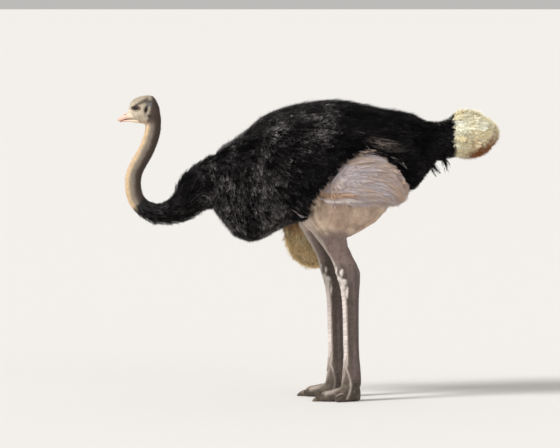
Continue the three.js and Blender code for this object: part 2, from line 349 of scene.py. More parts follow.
def make_skin():
    """One surface over all the flesh, finer on the neck, the shanks and the head, finest round the eyes."""
    flesh = [copy_of(node, "flesh_" + node, grow=0.001) for node in SKIN_NODES]
    flesh += [copy_of("eye_" + side, "flesh_eye_" + side, grow=-0.001) for side in SIDES]
    skin = join(flesh, "skin")
    remesh(skin, SKIN_VOXEL)
    head = lambda c: (c[:, 0] < -0.615) & (c[:, 2] > 1.17)
    neck = lambda c: (c[:, 0] < -0.60) & (c[:, 2] > 0.7) & (along_neck(c)[0] > 0.42)
    shank = lambda c: (c[:, 2] < 0.60) & (c[:, 0] > -0.3)
    mirrored = lambda c: np.abs(c * [0, 1, 0]) + c * [1, 0, 1]
    subdivide_where(skin, lambda c: neck(c) | shank(c))
    relax_piece(skin, 5)
    subdivide_where(skin, head)
    relax_piece(skin, 4)
    subdivide_where(skin, lambda c: np.linalg.norm(mirrored(c) - EYE_CENTRE, axis=1) < 0.030)
    return skin


def zones_of(points):
    """Which kind of surface each point belongs to: body, head, thigh or leg."""
    tree, owner = tree_of([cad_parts[node].data for node in SKIN_NODES])
    nearest = np.array([owner[tree.find_nearest(Vector(p))[2]] for p in points])
    starts = {"body": tuple(BODY_NODES), "head": "head", "thigh": ("thigh", "shin"), "leg": ("shank", "toe")}
    numbers = lambda start: [i for i, node in enumerate(SKIN_NODES) if node.startswith(start)]
    return {zone: np.isin(nearest, numbers(start)).astype(float) for zone, start in starts.items()}


def bump_at(points, centre, radii, power=2.0):
    """1 at the centre, fading to 0 at the radii."""
    return np.exp(-(np.sum(((points - centre) / radii) ** 2, axis=1) ** (power / 2)))


def open_lids(points, side):
    """Opens the lids: the skin wraps the eyeball, and inside the opening it drops behind the eyeball."""
    centre = EYE_CENTRE * [1, SIDES[side], 1]
    off = points - centre
    off[:, 1] *= SIDES[side]
    near = (np.linalg.norm(off, axis=1) < 0.040) & (off[:, 1] > -0.004)
    c, s = math.cos(LID_TILT), math.sin(LID_TILT)
    u = (off[:, 0] * c + off[:, 2] * s) / LID_HALF[0]
    v = (-off[:, 0] * s + off[:, 2] * c) / LID_HALF[1]
    angle = np.arctan2(v, u)
    corner = 1 + 0.16 * np.abs(np.cos(angle)) ** 6 - 0.05 * np.abs(np.sin(2 * angle)) ** 2
    rho = np.hypot(u, v) / corner  # 1 on the rim of the opening
    snap = np.where(near & (rho > 0.80) & (rho < 1.13), 1.0 / np.maximum(rho, 1e-6), 1.0)
    u, v = u * snap, v * snap
    x = u * LID_HALF[0] * c - v * LID_HALF[1] * s
    z = u * LID_HALF[0] * s + v * LID_HALF[1] * c
    ball = np.sqrt(np.maximum(EYE_RADIUS**2 - x**2 - z**2, 0))
    lid = ball + 0.0021 + 0.0006 * bell((rho - 1.25) / 0.12)
    hug = ramp(rho, 2.15, 1.25)
    outer = off[:, 1] * (1 - hug) + lid * hug
    outer -= 0.0011 * bell((rho - 1.62) / 0.13)
    outer = np.where(ball > 0, np.maximum(outer, ball + 0.0013), outer)
    y = np.where(rho < 1.0, ball * 0.72, outer)
    moved = np.stack([x, y * SIDES[side], z], 1)
    points = np.where(near[:, None] & (rho < 2.4)[:, None], centre + moved, points)
    return points, near & (rho < 1.0), near, rho


# Rise, place and reach of the forms on the right side of the head; the left side mirrors them.
HEAD_FORMS = (
    (0.0026, (-0.744, 0.036, 1.2695), (0.017, 0.012, 0.0035)),  # brow
    (0.0018, (-0.722, 0.042, 1.2660), (0.010, 0.012, 0.0040)),  # hind end of the brow
    (-0.0024, (-0.765, 0.030, 1.2440), (0.007, 0.014, 0.0080)),  # hollow in front of the eye
    (0.0022, (-0.726, 0.042, 1.2230), (0.016, 0.014, 0.0080)),  # cheek
    (-0.0016, (-0.722, 0.036, 1.2060), (0.012, 0.020, 0.0022)),  # fold below the cheek
)
EAR_HOLE, EAR_COLLAR = (0.0050, 0.020, 0.0125), (0.0090, 0.020, 0.0175)
EAR_PIT, EAR_PIT_REACH = (-0.681, 0.040, 1.217), (0.0045, 0.020, 0.0050)


def sculpt_head(points, normals):
    """Brow, hollow lores, ear and cheek. Returns the points, and masks of eye rim, ear and eye opening."""
    move = np.zeros(len(points))
    rim, ear = np.zeros(len(points)), np.zeros(len(points))
    for sign in SIDES.values():
        here = lambda at, reach, power=2.0: bump_at(points, np.array(at) * [1, sign, 1], reach, power)
        for rise, at, reach in HEAD_FORMS:
            move += rise * here(at, reach)
        hole = here(EAR_CENTRE, EAR_HOLE)
        collar = here(EAR_CENTRE, EAR_COLLAR, 4.0) - hole
        move += 0.0016 * np.clip(collar, 0, 1) - 0.0070 * hole
        pit = here(EAR_PIT, EAR_PIT_REACH)
        move -= 0.0022 * pit
        ear = np.maximum(ear, np.maximum(hole, 0.8 * pit))
    move += 0.0004 * noise(points, 0.004, 3) * ramp(points[:, 2], 1.17, 1.19)
    points = points + normals * move[:, None]
    inside = np.zeros(len(points), bool)
    for side in SIDES:
        points, hidden, near, rho = open_lids(points, side)
        rim = np.maximum(rim, np.where(near, bell((rho - 1.0) / 0.16), 0))
        inside |= hidden
    return points, rim, ear, inside


# [z, front x, rear x, half breadth] of the left leg from the toes up; the right one is swung forward.
LEG_ROWS = np.array([
    [0.062, 0.142, 0.227, 0.038], [0.090, 0.148, 0.228, 0.036], [0.130, 0.154, 0.225, 0.032],
    [0.200, 0.156, 0.219, 0.028], [0.300, 0.153, 0.217, 0.0265], [0.400, 0.150, 0.217, 0.0275],
    [0.470, 0.143, 0.219, 0.031], [0.508, 0.132, 0.222, 0.038], [0.540, 0.122, 0.224, 0.042],
    [0.590, 0.106, 0.207, 0.0375], [0.668, 0.062, 0.164, 0.042], [0.760, -0.014, 0.268, 0.074],
])  # fmt: skip
STRIDE = 0.064  # how far the right foot stands in front of the left one
STANCE = 0.100  # y of the middle of each leg


def swung(z):
    """How far the right leg is swung forward at a height."""
    return STRIDE * ramp(0.96 - np.asarray(z), 0, 0.42)


def leg_axis(z, side):
    """Front and rear x and half breadth of a leg at a height."""
    shift = swung(z) if side == "right" else 0.0
    front, rear, half = (np.interp(z, LEG_ROWS[:, 0], LEG_ROWS[:, k]) for k in (1, 2, 3))
    return front - shift, rear - shift, half


def straight_x(points):
    """Each point's x, with the right leg swung back beside the left one."""
    return points[:, 0] + np.where(points[:, 1] < 0, 0.0, swung(points[:, 2]))


def across_leg(points):
    """0 at the front of each leg and 1 at its rear, and the leg's half breadth there."""
    front, rear, half = leg_axis(points[:, 2], "left")
    return (straight_x(points) - front) / (rear - front), half


def beside_left_foot(points):
    """Seen from the side, both feet laid over the left one."""
    return points[:, [0, 2]] + np.where(points[:, 1:2] > 0, [STRIDE, 0.0], 0.0)


# [x, z] down the tendons of the left foot, raised and painted with a highlight: one to the long toe, one to
# the outer toe.
LONG_TENDON = (
    (0.160, 0.200), (0.156, 0.150), (0.147, 0.100), (0.133, 0.062), (0.110, 0.044), (0.078, 0.034),
)  # fmt: skip
OUTER_TENDON = (
    (0.160, 0.150), (0.173, 0.118), (0.182, 0.085), (0.183, 0.058), (0.176, 0.032), (0.166, 0.014),
)  # fmt: skip
TENDONS = ((0.0085, np.array(LONG_TENDON)), (0.0042, np.array(OUTER_TENDON)))  # each with its reach
# x, z, reach in x and reach in z of the knuckles on the left hock, raised and painted with highlights.
KNUCKLES = (
    (0.144, 0.553, 0.0060, 0.0140), (0.134, 0.526, 0.0080, 0.0110), (0.152, 0.512, 0.0130, 0.0110),
    (0.148, 0.485, 0.0090, 0.0200), (0.166, 0.470, 0.0045, 0.0260), (0.122, 0.560, 0.0035, 0.0200),
)  # fmt: skip


def on_tendons(points):
    """1 on the foot's tendons, which are raised and painted with a highlight, fading out to both sides."""
    most = np.zeros(len(points))
    for reach, line in TENDONS:
        _, apart = nearest_step(beside_left_foot(points), line)
        most = np.maximum(most, bell(apart.min(1) / reach))
    return most * ramp(points[:, 2], 0.21, 0.16)


def on_knuckles(points):
    """1 on the hock's knuckles, which are raised and painted with highlights, fading out round each."""
    x, z = beside_left_foot(points).T
    x = x + 0.005 * noise(points, 0.010, 31)
    z = z + 0.006 * noise(points, 0.012, 32)
    return np.clip(sum(spot(x, z, *knuckle) for knuckle in KNUCKLES), 0, 1)


def sculpt_legs(points, normals, zones):
    """Folds on the bare thighs, knuckles at the hock, and a tendon groove down each shank."""
    z = points[:, 2]
    across, half = across_leg(points)
    outward = np.abs(np.abs(points[:, 1]) - STANCE) / half
    shank = zones["leg"] * ramp(z, 0.10, 0.15) * ramp(z, 0.53, 0.49)
    move = -0.0038 * shank * bell((across - 0.60) / 0.13) * ramp(outward, 0.45, 0.8)
    move += 0.0018 * shank * bell((across - 0.80) / 0.10) * ramp(outward, 0.3, 0.7)
    move += zones["leg"] * (0.0030 * on_tendons(points) + 0.0034 * on_knuckles(points))
    hock = zones["leg"] * bell((z - 0.545) / 0.022)
    move += hock * (0.0014 * bell((across - 0.30) / 0.16) - 0.0026 * bell((across - 0.58) / 0.10))
    thigh = zones["thigh"] * ramp(z, 0.60, 0.68)
    stretched = points * [1.0, 1.0, 0.32] + np.array([0.12, 0, 0]) * points[:, 2:3]
    folds = 1 - np.abs(noise(stretched, 0.040, 5)) * 2.4
    move += 0.0062 * thigh * np.clip(folds, -0.8, 1.0)
    move -= 0.0016 * bell((z - 0.665) / 0.014) * zones["thigh"]
    return points + normals * move[:, None]


skin = make_skin()
full = points_of(skin.data)
full_edges = edges_of(skin.data)
full_normals = normals_of(skin.data)
zones = zones_of(full)
body_zone = zones["body"]
for name, rounds in (("body", 6), ("thigh", 3), ("leg", 6), ("head", 6)):
    zones[name] = spread(zones[name], full_edges, rounds)
neck_s = along_neck(full)[0]

feathered = zones["body"] * np.where(zones["head"] > 0.01, 0, 1)
depth = NECK_COAT_DEPTH + (COAT_DEPTH - NECK_COAT_DEPTH) * ramp(full[:, 0], -0.47, -0.36)
# Along the top of the shoulder the coat is thinnest, so the skin lies closer below it.
depth *= 1 - 0.65 * ramp(full_normals[:, 2], 0.25, 0.65) * ramp(full[:, 0], 0.0, -0.12)
sunk = full - full_normals * (depth * spread(feathered, full_edges, 8))[:, None]
sunk = relaxed(sunk, full_edges, feathered, 6)
shaped, eye_rim, ear_mask, hidden = sculpt_head(sunk, full_normals)
shaped = sculpt_legs(shaped, full_normals, zones)
shaped[:, 2] = np.maximum(shaped[:, 2], 0.0004)
set_points(skin.data, shaped)
pick(skin)
bpy.ops.object.shade_smooth()
for name, values in (("thigh", zones["thigh"]), ("leg", zones["leg"]), ("eye_rim", eye_rim)):
    put_attribute(skin.data, name, values)
declare(skin, "bare_skin", *SKIN_NODES)

# ---- Eyes, bill and claws ----------------------------------------------------------------------

# [x, z] along the lips, from the bill's tip back.
MOUTH = np.array([
    [-0.812, 1.1925], [-0.808, 1.1938], [-0.800, 1.1974], [-0.788, 1.2018], [-0.772, 1.2046],
    [-0.752, 1.2057], [-0.730, 1.2060],
])  # fmt: skip
BILL_OVERLAP = 0.009  # how much deeper the bill's root reaches into the head
NOSTRIL, NOSTRIL_REACH = np.array([-0.784, 0.021, 1.2235]), (0.0065, 0.006, 0.0018)


def seat_in_head(piece, root, flare):
    """Moves the points behind x = root deeper into the head, and widens the lips by flare."""
    points = points_of(piece.data)
    points[:, 0] += np.where(points[:, 0] > root, BILL_OVERLAP, 0)
    x, y, z = points.T
    lip = bell((z - line_at(MOUTH, x)) / 0.007) * ramp(np.abs(y), 0.002, 0.008) * ramp(x, -0.814, -0.795)
    points[:, 1] += flare * np.sign(y) * lip
    set_points(piece.data, points)


def refined(node, name, slot, grow=0.0, root=None, flare=0.0):
    """A smooth copy of a CAD node."""
    piece = copy_of(node, name, grow)
    if root is not None:
        seat_in_head(piece, root, flare)
    modify(piece, "SUBSURF", levels=2, render_levels=2)
    relax_piece(piece, 8)
    bpy.ops.object.shade_smooth()
    return declare(piece, slot, node)


def mark_bill(piece):
    """Numbers on the bill: how near each point is to the lips, the ridge and a nostril."""
    points = points_of(piece.data)
    x, y, z = points.T
    put_attribute(piece.data, "lips", bell((z - line_at(MOUTH, x)) / 0.0014))
    put_attribute(piece.data, "ridge", ramp(normals_of(piece.data)[:, 2], 0.45, 0.95) * bell(y / 0.010))
    put_attribute(piece.data, "nostril", bump_at(columns(x, np.abs(y), z), NOSTRIL, NOSTRIL_REACH))


def eyeball(side):
    """An eyeball with a bulging cornea, its pole facing out."""
    mirror = [1, SIDES[side], 1]
    nothing_picked()
    bpy.ops.mesh.primitive_uv_sphere_add(segments=48, ring_count=32, radius=EYE_RADIUS)
    ball = bpy.context.object
    ball.name = ball.data.name = "eyeball_" + side
    points = points_of(ball.data)[:, [0, 2, 1]] * mirror
    cornea = 1 + 0.05 * ramp(points[:, 1] * SIDES[side] / EYE_RADIUS, 0.72, 0.92)
    set_points(ball.data, points * cornea[:, None] + EYE_CENTRE * mirror)
    face_outward(ball)
    bpy.ops.object.shade_smooth()
    return declare(ball, "eye", "eye_" + side)


eyes = {side: eyeball(side) for side in SIDES}
bill = [
    refined("bill_upper", "bill_top", "horn", grow=0.0009, root=-0.745, flare=0.0035),
    refined("bill_lower", "bill_bottom", "horn", grow=0.0007, root=-0.740),
]
for piece in bill:
    mark_bill(piece)
claws = [refined("claw_" + side, "toe_nail_" + side, "claw") for side in SIDES]

# ---- Markings, with painted light and shade, shared by the skin and the down on it -------------

CREAM = paint_of(240, 213, 174)
CHEEK = paint_of(210, 197, 176)
LORE_CREAM = paint_of(252, 244, 220)
TAN = paint_of(196, 166, 136)
NECK_GREY = paint_of(150, 138, 124)
NAPE_BROWN = paint_of(84, 68, 60)
BROW_BROWN = paint_of(88, 68, 56)
SLATE = paint_of(78, 73, 74)
SLATE_BLUE = paint_of(104, 108, 116)
# Painted shade in the ear opening and a painted shadow at the jaw corner; also the real dark of the
# eyelashes.
EAR_SHADE_AND_LASH_BLACK = paint_of(34, 24, 18)
# Painted shade on the skin under the plumage, so that gaps between the feathers look dark; also the real
# black of the down at the neck's black base.
PLUMAGE_SHADE_AND_BLACK = paint_of(24, 22, 24)
THIGH_BEIGE = paint_of(206, 182, 160)
THIGH_SHADE = paint_of(148, 120, 104)
STREAK_CREAM = paint_of(246, 226, 198)
SHIN_GREY = paint_of(124, 107, 102)
SHANK_GREY = paint_of(95, 80, 79)
SHANK_DARK = paint_of(66, 54, 46)
# Painted highlight: the lit front ridge of the thighs and shanks, also laid along the foot's tendons.
RIDGE_HIGHLIGHT = paint_of(230, 216, 203)
# Painted highlights on the hock's knuckles.
KNUCKLE_HIGHLIGHT = paint_of(255, 246, 238)
FOOT_DARK = paint_of(50, 42, 36)
TOE_PALE = paint_of(140, 128, 106)
# Painted highlight: rim light down the middle of the nape.
NAPE_RIM_HIGHLIGHT = paint_of(204, 168, 150)


def layered(colours, *layers):
    """Lays paints over one another, from (paint, amount) pairs."""
    for paint, amount in layers:
        colours = colours + (paint - colours) * np.clip(amount, 0, 1)[:, None]
    return colours


def head_and_neck_paint(points):
    """Cream in front and on the cheek, brown down the nape, partly as painted light and shade, slate over
    the ear;
    painted shadow round the eye, painted shade in the ear, and painted rim light down the nape.
    """
    x, y, z = points.T
    across = along_neck(points)[2] / NECK_RADIUS + 0.16 * noise(points, 0.030, 8)
    wobble = 0.003 * noise(points, 0.012, 4)
    on_head = ramp(z, 1.178, 1.196) * ramp(x, -0.668, -0.684)
    nape = ramp(x + wobble + 0.25 * (1.24 - z), -0.686, -0.672) * ramp(z, 1.175, 1.20)
    back = x + 0.735
    brow = bell((z - 1.2660 - 0.55 * back) / (0.0075 + 0.06 * np.maximum(back, 0)))
    brow *= ramp(x, -0.752, -0.736) * ramp(x, -0.678, -0.696)
    # painted shade in the ear opening, and a painted shadow at the jaw corner below it
    ear_hole_shade = spot(x - 0.18 * (z - 1.245), z, -0.6935, 1.250, 0.0062, 0.0200, 1.5)
    jaw_corner_shadow = spot(x, z, -0.681, 1.219, 0.0085, 0.0070, 1.3)
    ear = np.maximum(0.95 * ear_hole_shade, 0.9 * jaw_corner_shadow) * ramp(np.abs(y), 0.02, 0.03)
    # painted highlight: a pale line of rim light down the middle of the nape
    nape_rim_light = bell(y / 0.0075) * ramp(x, -0.690, -0.672) * ramp(z, 1.10, 1.20)
    return layered(
        np.broadcast_to(NECK_GREY, points.shape),
        # the cream front and brown nape are partly the neck's own colours and partly painted light from the
        # front and painted shade at the back
        (CREAM, 0.92 * ramp(across, 0.22, 0.80)),
        (NAPE_BROWN, 0.95 * ramp(across, 0.06, -0.42)),
        (CHEEK, 0.95 * on_head),
        (TAN, 0.8 * on_head * ramp(z + wobble, 1.203, 1.190)),
        (NAPE_BROWN, 0.9 * nape),
        (BROW_BROWN, 0.95 * brow),
        (LORE_CREAM, 0.7 * on_head * spot(x, z, -0.765, 1.237, 0.012, 0.010)),
        # painted shadow of the brow round the eye
        (BROW_BROWN * 0.45, 0.88 * spot(x, z - 0.15 * (x + 0.742), -0.742, 1.2545, 0.0165, 0.0095, 2)),
        (SLATE, 0.92 * spot(x, z, -0.686, 1.2790, 0.019, 0.0105, 1.5)),
        (SLATE_BLUE, 0.85 * spot(x, z, -0.680, 1.266, 0.010, 0.008, 1.5)),
        (NECK_GREY, 0.70 * spot(x, z, -0.693, 1.243, 0.013, 0.024, 1.5)),
        (NAPE_RIM_HIGHLIGHT, 0.75 * nape_rim_light),
        (EAR_SHADE_AND_LASH_BLACK, ear),
    )


def blackness(points):
    """1 where the neck is black, 0 above, with a ragged edge between that slants back."""
    s, _, forward = along_neck(points)
    edge = BLACK_UP_TO - 0.35 * forward + 0.010 * noise(points, 0.014, 9)
    return ramp(s, edge + 0.012, edge - 0.014)


# [z, x] of the line where the black ends and the white plumes and bare thigh begin, on the left side.
BLACK_EDGE = np.array([
    [0.740, -0.030], [0.770, -0.009], [0.790, 0.017], [0.884, 0.024], [0.928, 0.066], [0.963, 0.093],
    [0.978, 0.118], [1.002, 0.140], [1.022, 0.172], [1.060, 0.178],
])  # fmt: skip
# Top x and z, lower end x and z, and half width of the cream streaks down the front of the left thigh.
THIGH_STREAKS = (
    (0.030, 0.800, 0.080, 0.716, 0.0065), (0.014, 0.770, 0.062, 0.722, 0.0040),
    (0.026, 0.860, 0.034, 0.800, 0.0050), (0.048, 0.850, 0.052, 0.815, 0.0035),
)  # fmt: skip


def past_black_edge(points, reach):
    """1 where a feather this long would lie over the bare thigh or the white plumes."""
    x, y, z = points.T
    return ((y < -0.06) & (z < 1.05) & (x > line_at(BLACK_EDGE, z) - reach) & (x < 0.36)).astype(float)


def thigh_paint(points, mottle, across):
    """Mottled beige, greyer towards the hock, with cream streaks down the front."""
    z = points[:, 2]
    streaks = noise(points * [1, 1, 0.25] + 0.1 * points[:, 2:3], 0.022, 7)
    colours = layered(
        np.broadcast_to(THIGH_BEIGE, points.shape),
        (THIGH_SHADE, 0.24 + 0.34 * mottle + 0.70 * streaks),
        (SHIN_GREY, 0.9 * ramp(z + 0.02 * mottle, 0.745, 0.700)),
        # painted highlight down the lit front of the thigh
        (RIDGE_HIGHLIGHT, 0.55 * ramp(across, 0.16, 0.04) * ramp(z, 0.86, 0.78)),
    )
    for top_x, top_z, end_x, end_z, wide in THIGH_STREAKS:
        share = np.clip((top_z - z) / (top_z - end_z), 0, 1)
        off = straight_x(points) - top_x - (end_x - top_x) * share + 0.006 * mottle
        inside = ramp(z, end_z - 0.014, end_z + 0.040) * ramp(z, top_z + 0.012, top_z - 0.006)
        amount = 0.85 * inside * bell(off / wide) * ramp(streaks, -1.0, -0.3)
        colours = layered(colours, (STREAK_CREAM, amount))
    return colours


def leg_paint(points, mottle, across):
    """Grey shanks with a painted highlight down the front ridge and painted shade behind it and in streaks,
    painted highlights on the knuckles at the hock, and dark feet with painted highlights on the tendons.
    """
    z = points[:, 2]
    above_foot = ramp(z, 0.10, 0.16)
    groove_shade = noise(points * [1, 1, 0.10], 0.008, 19)
    toe_marks = noise(points * [0.4, 1, 1], 0.020, 15)
    return layered(
        np.broadcast_to(SHIN_GREY, points.shape),
        (SHANK_GREY, ramp(z, 0.58, 0.48) * (0.8 + 0.2 * mottle)),
        # painted shade: a dark line just behind the lit ridge
        (SHANK_DARK, 0.80 * bell((across - 0.36) / 0.11) * above_foot),
        # painted highlight down the front ridge of the shank, narrower over the hock
        (RIDGE_HIGHLIGHT, 0.95 * ramp(across, 0.29, 0.18) * ramp(z, 0.12, 0.20) * ramp(z, 0.50, 0.46)),
        (RIDGE_HIGHLIGHT, 0.80 * ramp(across, 0.12, 0.04) * ramp(z, 0.45, 0.50)),
        (SHANK_DARK, 0.32 * ramp(z, 0.46, 0.49) * ramp(z, 0.58, 0.55) * ramp(across, 0.50, 0.30)),
        # painted highlights on the hock's knuckles
        (KNUCKLE_HIGHLIGHT, 0.92 * ramp(on_knuckles(points), 0.10, 0.80)),
        # painted shade in noisy streaks down the rear half of the shank
        (SHANK_DARK, 0.35 * ramp(groove_shade, 0.0, 0.5) * ramp(across, 0.3, 0.45) * above_foot),
        (FOOT_DARK, 0.95 * ramp(z + 0.02 * mottle, 0.12, 0.07)),
        (TOE_PALE, 0.40 * ramp(toe_marks, 0.0, 0.4) * ramp(z, 0.09, 0.05)),
        # painted highlight along the foot's tendons
        (RIDGE_HIGHLIGHT * 0.80, 0.92 * on_tendons(points)),
    )


def skin_paint(points, zones):
    """The skin's colours, with painted shade on the faces of the legs that look towards each other,
    and painted near black as shade wherever plumage lies over it.
    """
    mottle = noise(points, 0.045, 6)
    across, _ = across_leg(points)
    limb = zones["thigh"] + zones["leg"]
    share = (zones["leg"] / np.maximum(limb, 1e-3))[:, None]
    limbs = thigh_paint(points, mottle, across) * (1 - share) + leg_paint(points, mottle, across) * share
    whole = np.clip(limb, 0, 1)
    # painted shade on the faces of the thighs and legs that look towards the other leg
    inner_face_shade = ramp(-np.sign(points[:, 1]) * full_normals[:, 1], 0.15, 0.65) * whole
    bare = past_black_edge(points, 0.004)
    # painted shade: the skin under the plumage and under the neck's black feathers is painted dark
    dark = spread(feathered * (1 - bare), full_edges, 3) * 1.15 + blackness(points) * (whole < 0.05)
    return layered(
        head_and_neck_paint(points),
        (limbs, ramp(limb, 0.05, 0.35)),
        (SHANK_DARK, 0.60 * inner_face_shade * ramp(across, 0.25, 0.38)),
        (THIGH_BEIGE, bare * (whole < 0.5)),
        (PLUMAGE_SHADE_AND_BLACK, dark),
    )


put_paint(skin.data, skin_paint(full, zones))

# ---- Feathers ----------------------------------------------------------------------------------

SHAFT_STOPS = 6
BARB_START = 0.10  # share of the shaft that has no barbs, at its root
PATCH = 0.003  # size of each ribbon's patch in the bake's map
UPWARDS = np.array([0, 0, 1.0])
COMMON_LOOK = {"steps": 4, "hold": 0.8, "messy": 1.0, "own_tint": 0.65}
VARIED_KEYS = ("length", "barb", "width", "sweep", "curl", "droop", "lift")


def guide_of(points, mesh):
    """The surface that feathers are laid on: its points, triangles, and search tree."""
    mesh.calc_loop_triangles()
    tris = rows_of(mesh.loop_triangles, "vertices", 3, np.int32)
    tree = BVHTree.FromPolygons([Vector(p) for p in points], tris.tolist())
    return {"points": points, "tris": tris, "tree": tree}


def nearest_on(guide, places):
    """The guide's point and normal nearest to each place."""
    hits = [guide["tree"].find_nearest(Vector(p)) for p in places]
    return np.array([hit[0] for hit in hits]), np.array([hit[1] for hit in hits])


def roots_on(guide, normals, wanted, spacing):
    """Evenly spread places on the wanted part of a guide: points, normals."""
    a, b, c = (guide["points"][guide["tris"][:, k]] for k in range(3))
    area = np.linalg.norm(np.cross(b - a, c - a), axis=1) / 2 * wanted[guide["tris"]].mean(axis=1)
    count = int(area.sum() / spacing**2 * 7)
    chosen = rng.choice(len(area), count, p=area / area.sum())
    u, v = rng.random((2, count, 1))
    u, v = np.where(u + v > 1, 1 - u, u), np.where(u + v > 1, 1 - v, v)
    places = a[chosen] + u * (b - a)[chosen] + v * (c - a)[chosen]
    corners = normals[guide["tris"][chosen]]
    facing = unit(corners[:, 0] * (1 - u - v) + corners[:, 1] * u + corners[:, 2] * v)
    cell = np.floor(places / spacing).astype(np.int64) @ np.array([1, 4001, 16008001])
    _, first = np.unique(cell, return_index=True)
    return places[first], facing[first]


def onto(direction, normal):
    """The direction laid flat on the surface."""
    flat = direction - np.sum(direction * normal, axis=1, keepdims=True) * normal
    return unit(flat + 1e-6 * np.array([0.3, 0.2, -1.0]))


def lay_shafts(guide, root, normal, flow, length, look):
    """Carries each feather's shaft along the flow, from deep at its root to proud at its tip."""
    path, up = np.empty((2, len(root), SHAFT_STOPS, 3))
    surface, n = root.copy(), normal.copy()
    heading = onto(flow(root, normal), normal)
    heading = unit(heading + np.cross(n, heading) * look["wander"][:, None])
    for k in range(SHAFT_STOPS):
        share = k / (SHAFT_STOPS - 1)
        height = -look["depth"] * (1 - share) ** 1.4 + look["lift"] * share**1.8
        path[:, k] = surface + n * height[:, None]
        up[:, k] = n
        ahead = surface + heading * (length / (SHAFT_STOPS - 1))[:, None]
        near, facing = nearest_on(guide, ahead)
        surface = ahead + (near - ahead) * look["hold"]
        n = unit(0.55 * n + 0.45 * facing)
        heading = unit(onto(0.65 * heading + 0.35 * onto(flow(surface, n), n), n))
    return path, up


def between(stops, share):
    """Values at shares along each shaft. stops is (feather, stop, 3), share is (feather, barb)."""
    t = np.clip(share, 0, 1) * (stops.shape[1] - 1)
    low = np.minimum(t.astype(int), stops.shape[1] - 2)
    rows = np.arange(len(stops))[:, None]
    f = (t - low)[..., None]
    return stops[rows, low] * (1 - f) + stops[rows, low + 1] * f


def turned(angle, first, second):
    """Directions turned by angle from the first ones towards the second ones."""
    return np.cos(angle)[..., None] * first + np.sin(angle)[..., None] * second


def grow_barbs(path, up, look):
    """Both rows of barbs of every feather, as tapering ribbons: points (feather, barb, 2*steps+1, 3)."""
    steps, messy = look["steps"], look["messy"]
    shape = (len(path), look["barbs"])
    order = np.arange(look["barbs"])
    side = np.where(order % 2, 1.0, -1.0)[None, :, None]
    share = BARB_START + (1 - BARB_START) * (order // 2 + rng.random(shape)) / (look["barbs"] / 2)
    share = np.clip(share, 0, 1)
    ahead = np.minimum(share + 0.1, 1)
    along = unit(between(path, ahead) - between(path, ahead - 0.2))
    out = unit(between(up, share))
    out = unit(out - np.sum(out * along, axis=2, keepdims=True) * along)
    across = np.cross(out, along) * side
    angle = look["sweep"][:, None] * (1 - 0.72 * share**2) * varied(0.30 * messy, *shape)
    fullness = 0.55 + 0.45 * np.sin(np.pi * np.clip(share * 0.85 + 0.12, 0, 1))
    length = look["barb"][:, None] * fullness * varied(0.30 * messy, *shape)
    rolling = look["curl"][:, None] * varied(0.7 * messy, *shape)
    rolling = np.where(rng.random(shape) < 0.22 * messy, -0.6 * rolling, rolling)
    tilt = 0.20 * messy * swing(*shape) + 0.10
    points = np.empty((*shape, 2 * steps + 1, 3))
    here = between(path, share)
    for k in range(steps):
        t = k / steps
        flat = turned(angle * (1 - 0.55 * t), along, across)
        rise = tilt + rolling * t**1.5
        lean = unit(turned(rise, flat, out) - UPWARDS * (look["droop"] * t)[:, None, None])
        face = unit(turned(rise, out, -flat))
        half = look["width"][:, None] * (1 - 0.75 * t**2) * (0.8 if k == 0 else 1.0)
        edge = unit(np.cross(face, lean)) * half[..., None]
        points[:, :, 2 * k] = here - edge
        points[:, :, 2 * k + 1] = here + edge
        here = here + lean * (length / steps)[..., None]
    points[:, :, -1] = here
    return points, share


def ribbon_faces(steps):
    """Corner numbers of one ribbon's faces, and how many corners each has."""
    corners = []
    for k in range(steps - 1):
        corners += [2 * k, 2 * k + 1, 2 * k + 3, 2 * k + 2]
    last = 2 * steps
    return np.array(corners + [last - 2, last - 1, last]), np.array([4] * (steps - 1) + [3])


def mesh_of_ribbons(name, points, patches, numbers):
    """A piece of ribbons: points (ribbon, corner, 3), patches (ribbon, 2), numbers (ribbon, corner)."""
    count, per = points.shape[:2]
    steps = per // 2
    corners, totals = ribbon_faces(steps)
    loops = (np.arange(count)[:, None] * per + corners).ravel()
    totals = np.tile(totals, count)
    mesh = bpy.data.meshes.new(name)
    mesh.vertices.add(count * per)
    mesh.loops.add(len(loops))
    mesh.polygons.add(len(totals))
    mesh.vertices.foreach_set("co", points.astype(np.float32).ravel())
    mesh.loops.foreach_set("vertex_index", loops.astype(np.int32))
    mesh.polygons.foreach_set("loop_start", np.concatenate([[0], np.cumsum(totals)[:-1]]).astype(np.int32))
    mesh.polygons.foreach_set("use_smooth", np.ones(len(totals), bool))
    along = np.minimum(np.arange(per) // 2, steps) / steps
    edge = np.where(np.arange(per) == per - 1, 0.5, np.arange(per) % 2)
    places = patches[:, None] + PATCH * np.broadcast_to(np.stack([edge, along], 1), (count, per, 2))
    layer = mesh.uv_layers.new(name="OFBake")
    layer.data.foreach_set("uv", places.reshape(-1, 2)[loops].astype(np.float32).ravel())
    for key, values in dict(numbers, along=np.broadcast_to(along, (count, per))).items():
        if values.ndim == 3:
            put_paint(mesh, values.reshape(-1, 3), key)
        else:
            put_attribute(mesh, key, np.ascontiguousarray(values).ravel())
    mesh.update(calc_edges=True)
    return shown(name, mesh)


def patches_at(root, axis_point, along_axis):
    """Each tuft's place on an unwrap of the body: how far along it, and the angle round it."""
    off = root - np.array(axis_point)
    side = np.cross(along_axis, [0.0, 1.0, 0.0])
    places = np.stack([off @ np.array(along_axis), np.arctan2(off[:, 1], off @ side)], 1)
    low, high = places.min(0), places.max(0)
    return 0.02 + (0.95 - PATCH) * (places - low) / np.maximum(high - low, 1e-6)


